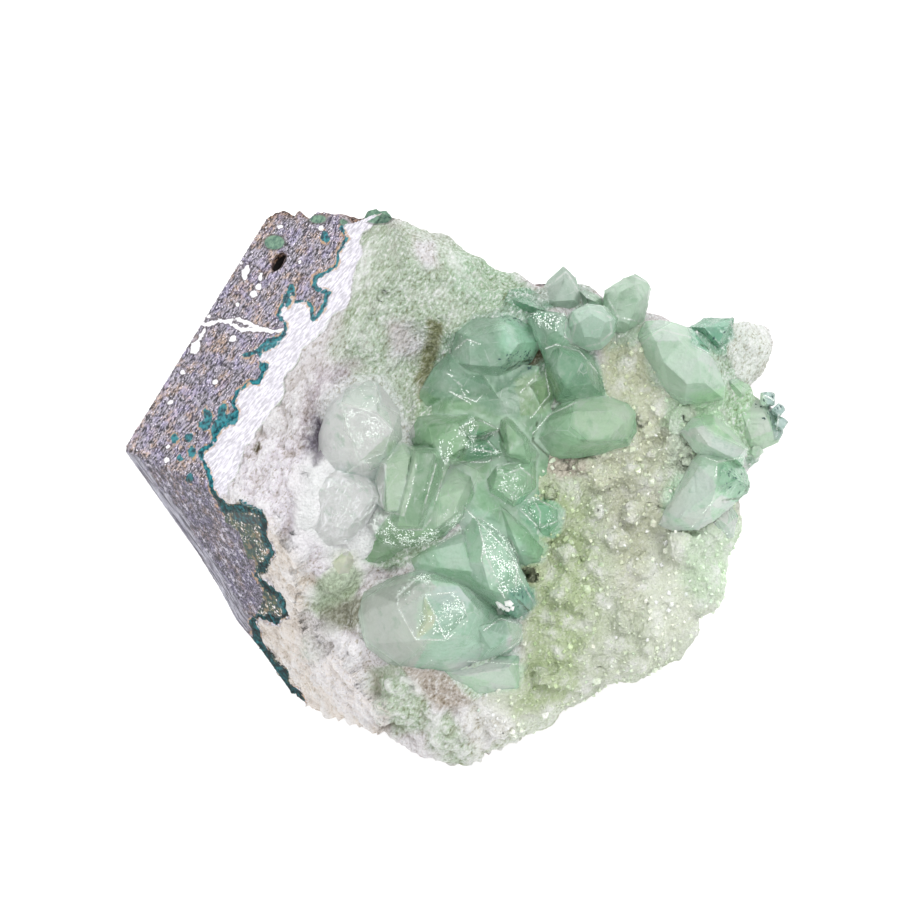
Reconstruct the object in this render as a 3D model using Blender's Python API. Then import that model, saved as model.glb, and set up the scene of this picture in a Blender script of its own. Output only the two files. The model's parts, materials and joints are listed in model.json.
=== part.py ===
"""Apophyllite on mordenite: basalt, its celadonite lining, a mordenite crust and pale green crystals.

Metres, +Z up. The chunk lies on its flat underside with the crystals up. The origin is in the middle of the
underside, and +X runs along the longest side. Sizes in the tables are in millimetres and are scaled by MM
where they are used.
"""

import math
from itertools import combinations

import bmesh
import bpy
import numpy as np
from mathutils import Matrix, Vector, noise

MM = 0.001

# The two sawn faces on the left: where each meets the underside, and how steeply it rises.
CORNER_LEFT = (-54.8, 6.7)
CORNER_TOP = (-30.3, 46.4)
CORNER_BOTTOM = (-25.7, -34.3)
SAWN_TOP_SLOPE = math.radians(47.5)
SAWN_BOTTOM_SLOPE = math.radians(65)
SAW_MARGIN = 16.0

# The broken edge seen from above, from the lower end of the saw cuts round the right to their top end.
BROKEN_EDGE = (
    (-25.7, -34.3), (-18.2, -37.4), (-13.6, -39.7), (-7.3, -42.4), (-3.0, -44.5), (1.8, -46.5),
    (6.4, -44.0), (11.0, -41.4), (17.6, -37.7), (21.8, -35.3), (26.4, -31.4), (34.0, -29.8),
    (39.0, -26.0), (41.0, -20.5), (45.4, -15.0), (46.2, -9.8), (48.4, -6.5), (48.6, -1.7),
    (48.8, 4.0), (49.6, 9.0), (49.2, 14.5), (47.6, 20.0), (45.6, 27.0), (41.0, 27.8),
    (34.3, 27.8), (30.8, 28.0), (24.5, 31.3), (17.5, 33.2), (12.1, 34.4), (7.6, 37.0),
    (2.7, 40.0), (-3.0, 43.2), (-9.0, 43.8), (-15.7, 44.0), (-22.3, 44.4), (-25.7, 45.6), (-30.3, 46.4),
)
EDGE_POINTS = 120
CENTRE = (-1.0, 3.0)

# The wall of the broken edge, from the top down: share of the plan outline, share of the local height.
WALL = ((1.0, 0.9), (0.99, 0.7), (0.97, 0.45), (0.94, 0.22), (0.92, 0.0))
BELOW_BASE = -4.0
TOP_RINGS = 26
EDGE_DROP = 6.0
EDGE_REACH = 9.0

# The lie of the crust: its height at the centre, its fall along x and y, then its hills and hollows, each
# with its middle, reach and height.
CRUST_LEVEL = 22.0
CRUST_FALL = (-0.08, 0.0)
HILLS = (
    (-13.0, 36.0, 13.0, 2.0),
    (-26.0, 0.0, 8.0, 5.5),
    (-27.0, -31.0, 11.0, -17.0),
    (-3.5, 22.0, 4.0, -5.0),
    (-22.5, 7.5, 3.2, -4.0),
    (-12.0, -14.0, 4.0, -3.0),
    (3.0, 2.0, 14.0, 3.0),
    (30.0, 20.0, 8.0, 2.0),
    (22.0, -20.0, 9.0, 1.0),
    (36.0, -5.0, 8.0, -1.5),
)

# Rounded knobs of mordenite fused to the crust: x, y, how far the middle sits over the crust, radii, turn
# in degrees.
KNOBS = (
    (48.8, 22.4, -4.6, (4.0, 5.8, 5.6), -14),
    (-15.8, -27.5, -3.0, (4.2, 7.5, 5.5), 12),
    (-8.5, -34.5, -3.5, (4.5, 5.0, 5.0), 40),
    (-1.0, -39.5, -4.0, (4.4, 4.0, 4.6), 0),
    (8.0, -37.0, -4.0, (4.6, 5.0, 5.2), 20),
    (-20.5, -19.5, -3.5, (4.0, 6.5, 4.6), 35),
    (-25.5, -8.0, -3.5, (5.5, 5.0, 4.4), 0),
    (-27.5, 6.5, -3.5, (6.0, 4.6, 4.4), 60),
    (-20.0, 15.5, -3.0, (3.4, 6.0, 4.0), -35),
    (14.5, -35.0, -4.0, (4.5, 3.6, 4.6), 25),
    (20.0, -29.0, -3.5, (4.2, 3.2, 4.2), -20),
    (29.0, -26.5, -3.4, (5.2, 3.6, 4.4), 10),
    (33.5, -17.5, -3.2, (5.0, 4.2, 4.4), 40),
    (40.0, -16.0, -3.6, (4.0, 4.6, 4.6), 0),
    (27.0, -14.0, -3.0, (4.4, 5.2, 4.2), -30),
    (33.5, -4.5, -2.8, (4.6, 4.2, 4.4), 0),
    (25.0, -3.0, -3.0, (4.4, 3.6, 4.0), 25),
    (29.5, 6.0, -2.6, (4.0, 5.0, 4.2), -15),
    (33.8, 13.5, -2.4, (2.8, 4.6, 3.8), -10),
    (26.0, 15.5, -3.0, (3.6, 4.2, 3.8), 20),
    (28.5, 22.0, -3.0, (3.4, 3.8, 3.6), 0),
    (42.0, 8.0, -3.4, (4.2, 3.8, 4.0), 0),
    (12.5, 33.5, -3.4, (5.0, 3.0, 4.2), -30),
)

# Nodules that stand out of the rough top rim of the basalt: the first is the large green one.
RIM_NODULES = (
    (-12.8, 44.0, 9.5, (3.2, 1.9, 2.6)),
    (-17.6, 44.3, 10.0, (1.9, 1.5, 1.8)),
    (-21.8, 44.2, 9.0, (2.6, 1.4, 2.2)),
    (-26.0, 44.6, 8.0, (2.2, 1.5, 2.0)),
)
# Gas holes open on the upper sawn face: plan position, half length, half width, turn in degrees, depth.
VESICLES = (
    (-29.0, 38.0, 2.1, 0.9, 55, 2.6),
    (-33.8, 18.8, 1.0, 0.7, 30, 0.8),
)

SEAM_BELOW_CRUST = 10.5
SEAM_DIP = (-17.0, 8.0, 20.0)
SEAM_DIP_SIDE = (-16.0, 12.0)
SEAM_WAVES = ((2.1, 7.5), (0.9, 3.4))
SEAM_THICKNESS = 1.2
GAP = 0.3
RIM_REACH = 45.0

ROCK_TRIANGLES = 3300
SEAM_TRIANGLES = 320
ROCK_VOXEL = 1.1

# The rough of the broken rock, coarse to fine: how far out and how far across.
ROUGHNESS = ((1.9, 11.0), (1.0, 4.5), (0.5, 2.4))
# The sheet that parts the rocks along the seam: its spans, the cells along them, and the level it fills to.
SHEET_SPAN = (150, 130)
SHEET_CELLS = (44, 38)
SHEET_TOP = 90

# Apophyllite is tetragonal: the pyramid rises at 60.4 degrees, its faces set over the corners of the prism.
PYRAMID_SLOPE = math.radians(60.4)

# The large crystals, grown into each other and worn to blunt forms. Each is the convex solid of its widest
# outline, at one level over the crust, of its crown corners (x, y, over the crust), and of its root.
CRYSTALS = {
    "centre": (
        0.3,
        ((-5, 12), (-2, 20), (5, 21), (8, 18), (14, 20.5), (16.5, 12), (15, 2), (14, -9), (9, -12),
         (0, -9), (-9, -1)),
        ((-1, 14, 3), (6, 15, 3), (12, 12, 3), (11, 0, 3), (4, -6, 3)),
    ),
    "upper_left": (
        1.5,
        ((0, 26.2), (3.2, 28.3), (9.3, 29), (13, 27), (14.8, 24.5), (13, 21), (10, 19), (7, 17.8),
         (2.8, 18.3), (-0.5, 21)),
        ((2.6, 25.2, 6.5), (8.4, 26.4, 8), (10.8, 24.2, 7.5), (7.8, 20.3, 7), (2.6, 20.6, 6)),
    ),
    "upper_left_foot": (
        0.5,
        ((-3.5, 20), (-1, 22.5), (4, 21), (7.3, 16.5), (10, 14), (6, 12.3), (3.6, 13.5), (-1, 12.5),
         (-6, 12.5), (-6.4, 15)),
        ((-0.6, 19.6, 4.5), (5.2, 17.2, 5), (7.8, 14.6, 4), (1, 14.8, 3.6), (-3.6, 15.2, 3)),
    ),
    "top_dark": (
        1.5,
        ((8.5, 32), (12, 32.2), (15.8, 29.6), (13, 28.6), (9, 29.4)),
        ((10.5, 31.2, 4.6), (14, 29.9, 5)),
    ),
    "top_peak": (
        1.0,
        ((13.4, 32.4), (15.8, 34.8), (18.2, 37.1), (20.2, 35.2), (20.9, 33.4), (21.2, 30.5), (18, 28),
         (14, 29.5)),
        ((18.3, 34.8, 4.5), (16.6, 31.2, 6.5), (19.8, 31.4, 6)),
    ),
    "top_notch": (
        1.0,
        ((20.4, 33.4), (22, 33.2), (24.6, 32), (25, 30), (21, 29)),
        ((22, 31.8, 4.5), (23.4, 31.2, 4)),
    ),
    "top_bridge": (
        5.0,
        ((12.2, 28.3), (13.8, 29.6), (18.3, 29.1), (20, 25), (18.5, 21.5), (15.2, 21), (14.6, 24.5)),
        ((13.2, 28.4, 8.4), (14.2, 29.2, 8.6), (17.8, 28.8, 10), (15.4, 26.1, 9)),
    ),
    "top_frosted": (
        7.0,
        ((18.6, 26.5), (19.6, 29.4), (22, 30.8), (25, 30.4), (27.2, 28.4), (26.6, 25.5), (24.6, 23.2),
         (22.3, 22.9), (19.8, 24.2)),
        ((20.8, 27.6, 12), (22.8, 29, 12.6), (25, 27.6, 12.2), (24.2, 25.2, 11.2), (21.6, 25.2, 11)),
    ),
    "top_blunt": (
        2.0,
        ((25, 33), (26.6, 34.2), (28.4, 35.2), (30.2, 35.7), (32.2, 34.6), (32.9, 33.3), (32.4, 31),
         (31.8, 28.2), (30, 25.5), (27.5, 23.5), (25.5, 24), (24.5, 28)),
        ((27.4, 32.6, 7.5), (30, 33.8, 7), (30.6, 31, 8), (29, 27.4, 9), (26.6, 28.4, 9.5)),
    ),
    "middle_right": (
        3.0,
        ((14.8, 22.5), (16.5, 25), (20, 24.2), (23, 22), (24.6, 18.5), (25.4, 15), (22, 13.6),
         (17, 14.5), (15.3, 19)),
        ((17.6, 22.8, 9), (21.4, 20.8, 9), (22.8, 17.4, 8), (18.6, 17, 8.4), (16.8, 20, 8.4)),
    ),
    "middle_olive": (
        0.5,
        ((12, 18.3), (15, 20.2), (17.4, 18), (17, 14), (14.5, 11.7), (12.6, 11.7), (11.4, 14), (9.5, 15.5)),
        ((13, 17.2, 4.5), (15.4, 17, 5.5), (14.6, 13.8, 4)),
    ),
    "right_big": (
        3.0,
        ((12.8, 7.9), (14, 10.5), (15.2, 12), (17.4, 14), (20, 15.4), (24, 16), (26, 14.8),
         (29, 14.2), (30.3, 12.5), (30.2, 9.5), (29, 7.2), (25, 6), (21, 5.1), (17.5, 5), (15, 6.1)),
        ((16.6, 9.6, 9), (19.8, 12.8, 12), (21, 8.2, 10), (25.6, 13, 10.5), (28, 11, 8.5), (25.6, 8.2, 8)),
    ),
    "centre_pale": (
        2.0,
        ((7, 12), (9, 13), (12.3, 9.4), (13, 7), (14.3, 5.8), (13.6, 3), (11, 2), (8, 4.5), (6.5, 8.5)),
        ((8.6, 11, 6.5), (11.4, 8, 8), (12, 5, 7), (9.2, 6, 7.5)),
    ),
    "centre_dark_upper": (
        4.5,
        ((0, 10), (3.6, 12.2), (5.5, 11.2), (7.5, 9.9), (5.5, 8.9), (3, 8), (1, 8.6)),
        ((1.2, 10.1, 8.4), (3.2, 11.2, 9), (3.1, 8.9, 8.4), (5.6, 9.9, 7.6)),
    ),
    "centre_dark_lower": (
        4.0,
        ((0.2, 4.6), (1.6, 7.5), (5.8, 8.3), (8, 5.8), (4, 5), (1, 4.3)),
        ((2.4, 6.6, 7.6), (5.2, 7.3, 8), (6.4, 6, 6.6)),
    ),
    "centre_olive": (
        1.5,
        ((-6.8, 7.5), (-7.5, 9.5), (-6, 12), (-2, 12.8), (3, 13), (5, 11), (5, 7), (1, 3.6), (-3, 3.6)),
        ((-4.2, 10.2, 6.5), (0.6, 11, 7), (2.6, 7.4, 6.5), (-1.4, 5, 7), (-3.6, 7.4, 7.5)),
    ),
    "centre_sparkling": (
        3.5,
        ((5.5, 1.5), (7.2, 4), (10.5, 5), (13.6, 4.6), (13.6, 0.4), (11.5, -2), (9.8, -3), (6, -0.5)),
        ((7.3, 3.2, 8), (10.4, 2.7, 9.4), (11, 0.1, 8.6), (9.7, -1.9, 7), (6.6, 0.5, 7.2), (12.6, 3.4, 7)),
    ),
    "centre_glassy": (
        1.5,
        ((10.8, -3.7), (12.6, -1.4), (15.4, -1.5), (17.6, -3.8), (17.6, -6), (15.8, -7.6), (14.5, -8),
         (12.5, -5.5)),
        ((12.8, -2.8, 5), (15.4, -2.6, 5.6), (16.6, -4.4, 5), (14.4, -5.8, 4.4)),
    ),
    "centre_green": (
        0.5,
        ((5, 0), (9, -2), (12.5, -6), (15, -10), (14.4, -12.5), (12, -13), (10.2, -12), (8, -8), (5, -4)),
        ((7.8, -2.8, 4.5), (11.6, -6.8, 4.5), (13.2, -10.4, 3.4), (10.8, -10, 4)),
    ),
    "lower_sparkling": (
        3.0,
        ((2, -4), (4.5, -4.6), (8.8, -8), (10.3, -11.4), (13.4, -17.8), (12.8, -20), (10.4, -21.5),
         (7, -19.5), (2.5, -16.5), (-1, -12)),
        ((4.5, -5.6, 7), (8.2, -8.8, 8), (9.6, -13.8, 9), (9.8, -17.8, 8.4), (6, -16.6, 9.6),
         (4.8, -12.4, 10)),
    ),
    "lower_back": (
        0.5,
        ((-8.5, -12), (-6, -9.8), (-2, -7.6), (2, -6), (4, -10), (5, -15), (3, -18), (-2, -16), (-7, -14)),
        ((-3, -10, 5), (1.6, -8.8, 6), (3, -13.6, 6.5), (-2.6, -13, 5)),
    ),
    "striated_prism": (
        5.0,
        ((-7.6, 7), (-2.4, 7.2), (-0.8, 4), (-5, -7), (-10.2, -6.8), (-11, -5)),
        ((-6.2, 6, 10), (-3.4, 5.8, 10.5), (-6, -6.2, 9.5), (-9.4, -6, 9)),
    ),
    "striated_foot": (
        2.0,
        ((-13.8, -3.6), (-14.6, -6), (-12.5, -8.6), (-8.5, -9.9), (-4.6, -9), (-1.5, -7.8), (1.4, -5),
         (3.8, -1), (3, 2.5), (0, 4), (-6, 2), (-10, -1)),
        ((-12, -4.6, 6), (-10.8, -7, 6), (-7, -8, 6.6), (-3.6, -7, 7), (-0.4, -4.6, 7.4), (1.6, 0, 7.4)),
    ),
    "striated_flank": (
        0.2,
        ((-17.6, -8), (-14, -5), (-6, -9), (-7, -11), (-11, -12.2), (-16, -13)),
        ((-14, -8.4, 3), (-9, -9.6, 3.4)),
    ),
    "left_facing": (
        3.0,
        ((-22.4, 9), (-20.6, 14.5), (-16.5, 17.8), (-12.8, 18), (-9, 13), (-8.6, 8.6), (-10.5, 2.5),
         (-15, 0.5), (-20, 1), (-22.6, 4)),
        ((-18.8, 13.8, 9.4), (-12.8, 12.8, 11), (-10, 9.8, 11), (-15.3, 4.8, 9.6)),
    ),
    "left_low": (
        1.0,
        ((-25.4, 2), (-26, -3), (-25, -8), (-22, -9.5), (-17.5, -9), (-14, -5), (-11.5, -1),
         (-12.5, 1), (-15, 3.5), (-20, 4)),
        ((-22.6, -0.6, 5), (-21.6, -6, 4.6), (-17.6, -6.6, 5), (-13.4, -1.4, 7.5), (-17.6, 1.6, 7)),
    ),
    "left_slab": (
        4.0,
        ((-13, 5), (-9, 8), (-6.4, 7), (-7, 2), (-8.3, -4.6), (-11, -4.2), (-13, -2)),
        ((-11.6, 4, 9.4), (-7.4, 5, 9.4), (-8.8, -3.6, 8.4), (-11, -3.4, 8.4)),
    ),
    "left_blade": (
        0.8,
        ((-22.3, -13), (-20, -10), (-17, -9.3), (-16.2, -11), (-17.5, -14.5), (-20, -15.8)),
        ((-20, -12, 2.4), (-17.8, -11.2, 3)),
    ),
    "lower_facing": (
        1.0,
        ((-8, -13.6), (-5, -13), (0, -15), (3, -16.5), (7, -20), (8, -24), (6, -28), (0, -30.5),
         (-6, -30), (-11, -29), (-14.6, -26), (-16, -21), (-15, -17), (-11, -15)),
        ((-9.6, -18.8, 9), (-5, -14.9, 9), (0.6, -15.9, 9.6), (4, -20, 10), (2.4, -24, 10),
         (-6.3, -25.2, 10)),
    ),
    "lower_tip": (
        9.0,
        ((-6.3, -25), (-5.2, -17.3), (0.3, -16.9), (3, -21.3), (-1.2, -25.2)),
        ((-4.2, -21.6, 13), (-0.6, -20.2, 14)),
    ),
    "lower_right": (
        2.0,
        ((2, -22), (6, -20.8), (9.5, -20.9), (11.3, -22.6), (11.4, -25), (9.2, -27), (4, -28.6), (1, -26)),
        ((4, -22.8, 9), (8.4, -22, 8), (9.6, -24.4, 7), (6, -26.4, 7)),
    ),
    "lower_pale": (
        0.5,
        ((-3.5, -30), (-0.5, -33), (2.5, -34.4), (7, -34), (10.8, -33), (10.9, -27.5), (5, -28)),
        ((1, -31, 3.4), (6, -32, 3.4), (9, -29.6, 4)),
    ),
    "dome": (
        2.0,
        ((30.2, 25.2), (31.8, 27.8), (34.5, 28), (37, 27.5), (39.5, 26.5), (42, 23.5), (44, 19.5),
         (45, 17), (44.8, 15), (41.5, 14.4), (38, 14), (36, 15.5), (33.5, 18.5), (31.5, 22)),
        ((33.4, 24.6, 7.5), (37.4, 24.6, 9), (40.4, 21.6, 9.4), (41.6, 17.6, 8), (38.6, 17.4, 9),
         (34.8, 21, 9.4)),
    ),
    "rim_glassy": (
        1.5,
        ((39, 27), (41.5, 28.3), (46.8, 28.6), (46, 26.2), (45, 23), (43.5, 22), (41.5, 24)),
        ((41.6, 26.8, 5.4), (45.4, 27, 4.6), (44, 24.2, 6)),
    ),
    "arrow": (
        2.5,
        ((39.5, 4.8), (41.5, 6.5), (44, 6.8), (47, 5), (48.6, 3), (49.3, 0.4), (48.8, -0.5),
         (47.5, -1), (45.5, -3.5), (43, -5.5), (40.5, -6.8), (36.5, -7), (33.8, -6), (35, -3.5),
         (38, 1.5)),
        ((40.8, 3.8, 8), (44.8, 4, 9), (47, 1.6, 8), (43.6, 0.4, 10), (42.4, -2.8, 8), (37.6, -4.8, 6)),
    ),
    "rim_plate": (
        0.5,
        ((45.5, 12.5), (49, 15), (51, 14.8), (53, 13.5), (54.3, 11), (54.8, 9.5), (54, 7.8),
         (51.5, 6.6), (49, 6.5), (46.5, 9)),
        ((48, 12.5, 4), (51.6, 12.6, 4), (53, 9.6, 3.4), (49.5, 8.2, 4)),
    ),
    "under_knob": (
        0.5,
        ((44.2, 19.5), (46.5, 19.8), (48.5, 18.5), (49.3, 16.8), (49, 15), (47.5, 13), (45, 14)),
        ((46, 17.8, 4), (47.8, 16, 3.6)),
    ),
    "upper_pale": (
        3.0,
        ((37.6, 9.5), (39.5, 12), (43, 12.5), (46, 9.8), (49, 6.8), (48, 3.8), (44, 5), (40, 6)),
        ((40, 10.2, 7), (43.4, 10.8, 8), (48.4, 6.8, 7.5), (47, 4.8, 7), (42.4, 7, 7.5)),
    ),
    "rim_low": (
        0.2,
        ((43, -3.5), (46, -2.6), (47.3, -4.5), (46.5, -8), (43, -8.5), (41, -7.5)),
        ((44, -5, 2.6), (45.4, -6, 2.2)),
    ),
}
ROOT_DEPTH = 8.0

# The crystals that lean out over the broken edge, and the middle of each one's narrower root.
LEANING_ROOTS = {
    "top_peak": (17.6, 28.0),
    "top_notch": (22.0, 28.0),
    "top_blunt": (27.2, 25.6),
    "rim_glassy": (42.6, 23.0),
    "under_knob": (44.4, 15.6),
    "upper_pale": (42.4, 8.6),
    "arrow": (41.0, 0.0),
    "rim_plate": (45.6, 10.0),
    "rim_low": (43.2, -5.6),
}
LEANING_SHARE = 0.62
LEANING_DEPTH = 4.5

# Blocky little crystals on the rim plate: x, y, z of the middle, width. Each leans on its root below, is
# turned by its place, and keeps a share of the length to its pyramid's end.
CUBES = ((52.2, 15.0, 16.4, 2.0), (54.0, 13.1, 15.8, 1.6), (54.4, 10.9, 15.2, 1.6), (50.2, 6.2, 14.0, 1.8))
CUBE_ROOT = (-0.2, -0.2, -1.0)
CUBE_TIP = (0.3, 0.3, 1.4)
CUBE_TURN = 25
CUBE_KEPT = 0.7

# The sugary druse: short crystals fused to the crust between the clusters.
DRUSE_SEED = 7
DRUSE_COUNT = 62
DRUSE_CENTRE = (28.0, -9.0)
DRUSE_REACH = (19.0, 24.0)
DRUSE_WIDTH = (2.2, 4.2)
DRUSE_RIM = 3.0
DRUSE_LEAN = 0.45
DRUSE_KEPT = 0.86
DRUSE_CLEARANCE = 1.2
# A prism that lies on the lower edge of the druse: its ends (x, y, over the crust), width, turn and the
# kept share.
LYING_PRISM = ((13.8, -31.0, 1.2), (21.8, -32.3, 1.0), 2.4, 20, 0.9)

# Each rock's material: name, colour, roughness. Everything else is apophyllite.
LOOKS = {
    "basalt_matrix": ("basalt", (0.24, 0.23, 0.26), 0.8),
    "celadonite_seam": ("celadonite", (0.05, 0.22, 0.22), 0.7),
    "mordenite_crust": ("mordenite", (0.66, 0.72, 0.62), 0.85),
}
CRYSTAL_LOOK = ("apophyllite", (0.45, 0.68, 0.50), 0.2)


def smooth_step(value):
    """A value held between 0 and 1 and eased at both ends."""
    t = min(max(value, 0.0), 1.0)
    return t * t * (3 - 2 * t)


def resampled(points, count):
    """Evenly spaced points round a closed outline."""
    ring = np.array([*points, points[0]], float)
    steps = np.linalg.norm(np.diff(ring, axis=0), axis=1)
    along = np.concatenate([[0], np.cumsum(steps)])
    wanted = np.linspace(0, along[-1], count, endpoint=False)
    return np.stack([np.interp(wanted, along, ring[:, axis]) for axis in (0, 1)], axis=1)


def outward(start, end, distance):
    """The unit normal, in plan, that points to the left of the way from start to end, times a distance."""
    way = Vector(end) - Vector(start)
    return Vector((-way.y, way.x)).normalized() * distance


def plan_outline():
    """The outline seen from above, with both saw cuts pushed out so that the planes can cut them back."""
    top_push = outward(CORNER_LEFT, CORNER_TOP, SAW_MARGIN)
    bottom_push = outward(CORNER_BOTTOM, CORNER_LEFT, SAW_MARGIN)
    pushed = (
        tuple(Vector(CORNER_TOP) + top_push),
        tuple(Vector(CORNER_LEFT) + top_push + bottom_push),
        tuple(Vector(CORNER_BOTTOM) + bottom_push),
    )
    return BROKEN_EDGE + pushed


OUTLINE = resampled(plan_outline(), EDGE_POINTS)


def crust_lie(x, y):
    """Height of the crust away from its edges."""
    height = CRUST_LEVEL + CRUST_FALL[0] * x + CRUST_FALL[1] * y
    for hill_x, hill_y, reach, rise in HILLS:
        distance = math.hypot(x - hill_x, y - hill_y) / reach
        height += rise * math.exp(-distance * distance)
    return height


def crust_height(x, y):
    """Height of the crust, which rounds down towards the broken edge."""
    to_edge = float(np.hypot(OUTLINE[:, 0] - x, OUTLINE[:, 1] - y).min())
    return crust_lie(x, y) - EDGE_DROP * (1 - smooth_step(to_edge / EDGE_REACH)) ** 2


def seam_height(x, y):
    """Height of the celadonite's underside, which dives to the base at the lower end of the saw cut."""
    start, length, depth = SEAM_DIP
    left = smooth_step((SEAM_DIP_SIDE[0] - x) / SEAM_DIP_SIDE[1])
    dip = depth * left * smooth_step((start - y) / length)
    waves = sum(
        amplitude * noise.noise(Vector((x / reach, y / reach, amplitude)))
        for amplitude, reach in SEAM_WAVES
    )
    return crust_lie(x, y) - SEAM_BELOW_CRUST - dip + 2 * waves


def new_object(name, mesh_builder, keep=True):
    """An object whose mesh comes from a bmesh, in metres."""
    mesh = bpy.data.meshes.new(name)
    mesh_builder.to_mesh(mesh)
    mesh_builder.free()
    obj = bpy.data.objects.new(name, mesh)
    bpy.context.scene.collection.objects.link(obj)
    if not keep:
        obj.hide_render = True
        obj.display_type = "WIRE"
    return obj


def apply_modifiers(obj):
    """Makes an object's modifiers part of its mesh."""
    bpy.context.view_layer.update()
    graph = bpy.context.evaluated_depsgraph_get()
    mesh = bpy.data.meshes.new_from_object(obj.evaluated_get(graph))
    obj.modifiers.clear()
    obj.data = mesh
    return obj


def boolean(obj, other, operation):
    """Joins an object with another, or cuts it by it, and applies the result."""
    modifier = obj.modifiers.new(operation.title(), "BOOLEAN")
    modifier.operation = operation
    modifier.object = other
    return apply_modifiers(obj)


def duplicate(obj, name):
    """A copy of an object with a mesh of its own."""
    copy = bpy.data.objects.new(name, obj.data.copy())
    bpy.context.scene.collection.objects.link(copy)
    return copy


def remove(*objects):
    """Deletes objects from the file."""
    for obj in objects:
        bpy.data.objects.remove(obj)


def material(name, colour, roughness):
    """A plain material of a mineral."""
    made = bpy.data.materials.new(name)
    made.use_nodes = True
    shader = made.node_tree.nodes["Principled BSDF"]
    shader.inputs["Base Color"].default_value = (*colour, 1.0)
    shader.inputs["Roughness"].default_value = roughness
    shader.inputs["Metallic"].default_value = 0.0
    return made


def ring_faces(bm, upper, lower):
    """Quads between two rings of the same length, facing out when upper lies over or inside lower."""
    count = len(upper)
    for i in range(count):
        j = (i + 1) % count
        bm.faces.new((upper[i], lower[i], lower[j], upper[j]))


def add_block(bm):
    """The chunk before it is sawn: a relief on top, walls that lean in, and a closed underside."""
    centre = np.array(CENTRE)
    rings = []
    for step in range(1, TOP_RINGS + 1):
        plan = centre + (OUTLINE - centre) * (step / TOP_RINGS)
        rings.append([bm.verts.new((x * MM, y * MM, crust_height(x, y) * MM)) for x, y in plan])
    heights = [crust_height(x, y) for x, y in OUTLINE]
    for share, level in WALL:
        plan = centre + (OUTLINE - centre) * share
        rings.append(
            [bm.verts.new((x * MM, y * MM, (BELOW_BASE + (h - BELOW_BASE) * level) * MM))
             for (x, y), h in zip(plan, heights, strict=True)]
        )
    for upper, lower in zip(rings, rings[1:], strict=False):
        ring_faces(bm, upper, lower)
    top = bm.verts.new((centre[0] * MM, centre[1] * MM, crust_height(*CENTRE) * MM))
    base = bm.verts.new((centre[0] * MM, centre[1] * MM, BELOW_BASE * MM))
    for i in range(EDGE_POINTS):
        j = (i + 1) % EDGE_POINTS
        bm.faces.new((top, rings[0][i], rings[0][j]))
        bm.faces.new((base, rings[-1][j], rings[-1][i]))


def add_ellipsoid(bm, middle, radii, turn_degrees, subdivisions=3):
    """An ellipsoid in millimetres, turned about the vertical."""
    place = Matrix.Translation(Vector(middle) * MM)
    turn = Matrix.Rotation(math.radians(turn_degrees), 4, "Z")
    size = Matrix.Diagonal((*(r * MM for r in radii), 1.0))
    bmesh.ops.create_icosphere(bm, subdivisions=subdivisions, radius=1.0, matrix=place @ turn @ size)


def roughen(obj, layers):
    """Moves each point along its normal by layers of noise: (amplitude, reach) in millimetres."""
    mesh = obj.data
    normals = [v.normal.copy() for v in mesh.vertices]
    for vertex, normal in zip(mesh.vertices, normals, strict=True):
        shift = sum(
            amplitude * noise.noise(vertex.co / (reach * MM) + Vector((0, 0, amplitude)))
            for amplitude, reach in layers
        )
        vertex.co += normal * shift * MM


def decimate(obj, triangles):
    """Thins a mesh to about a number of triangles."""
    count = sum(len(p.vertices) - 2 for p in obj.data.polygons)
    modifier = obj.modifiers.new("Decimate", "DECIMATE")
    modifier.ratio = min(1.0, triangles / count)
    modifier.use_collapse_triangulate = True
    return apply_modifiers(obj)


def cut_plane(obj, point, normal):
    """Saws off what lies on the normal's side of a plane and closes the cut."""
    bm = bmesh.new()
    bm.from_mesh(obj.data)
    found = bmesh.ops.bisect_plane(
        bm,
        geom=bm.verts[:] + bm.edges[:] + bm.faces[:],
        dist=1e-7,
        plane_co=Vector(point) * MM,
        plane_no=Vector(normal),
        clear_outer=True,
    )
    rim = [e for e in found["geom_cut"] if isinstance(e, bmesh.types.BMEdge)]
    bmesh.ops.holes_fill(bm, edges=rim)
    bmesh.ops.recalc_face_normals(bm, faces=bm.faces[:])
    bmesh.ops.triangulate(bm, faces=[f for f in bm.faces if len(f.verts) > 4])
    bm.to_mesh(obj.data)
    bm.free()


def sawn_normal(start, end, slope):
    """Outward normal of a face that rises from the base line start to end at a slope, leaning inwards."""
    plan = outward(start, end, 1.0)
    return Vector((plan.x * math.sin(slope), plan.y * math.sin(slope), math.cos(slope)))


def saw(obj):
    """The flat underside and the two sawn faces."""
    cut_plane(obj, (0, 0, 0), (0, 0, -1))
    cut_plane(obj, (*CORNER_LEFT, 0), sawn_normal(CORNER_LEFT, CORNER_TOP, SAWN_TOP_SLOPE))
    cut_plane(obj, (*CORNER_LEFT, 0), sawn_normal(CORNER_BOTTOM, CORNER_LEFT, SAWN_BOTTOM_SLOPE))


def rock():
    """The whole chunk without its apophyllite, as one closed solid."""
    bm = bmesh.new()
    add_block(bm)
    for x, y, over, radii, turn in KNOBS:
        add_ellipsoid(bm, (x, y, crust_height(x, y) + over), radii, turn)
    for x, y, z, radii in RIM_NODULES:
        add_ellipsoid(bm, (x, y, z), radii, 0)
    obj = new_object("rock", bm)
    remesh = obj.modifiers.new("Remesh", "REMESH")
    remesh.mode = "VOXEL"
    remesh.voxel_size = ROCK_VOXEL * MM
    apply_modifiers(obj)
    largest_body(obj)
    roughen(obj, ROUGHNESS)
    decimate(obj, ROCK_TRIANGLES)
    saw(obj)
    largest_body(obj)
    return obj


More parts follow.
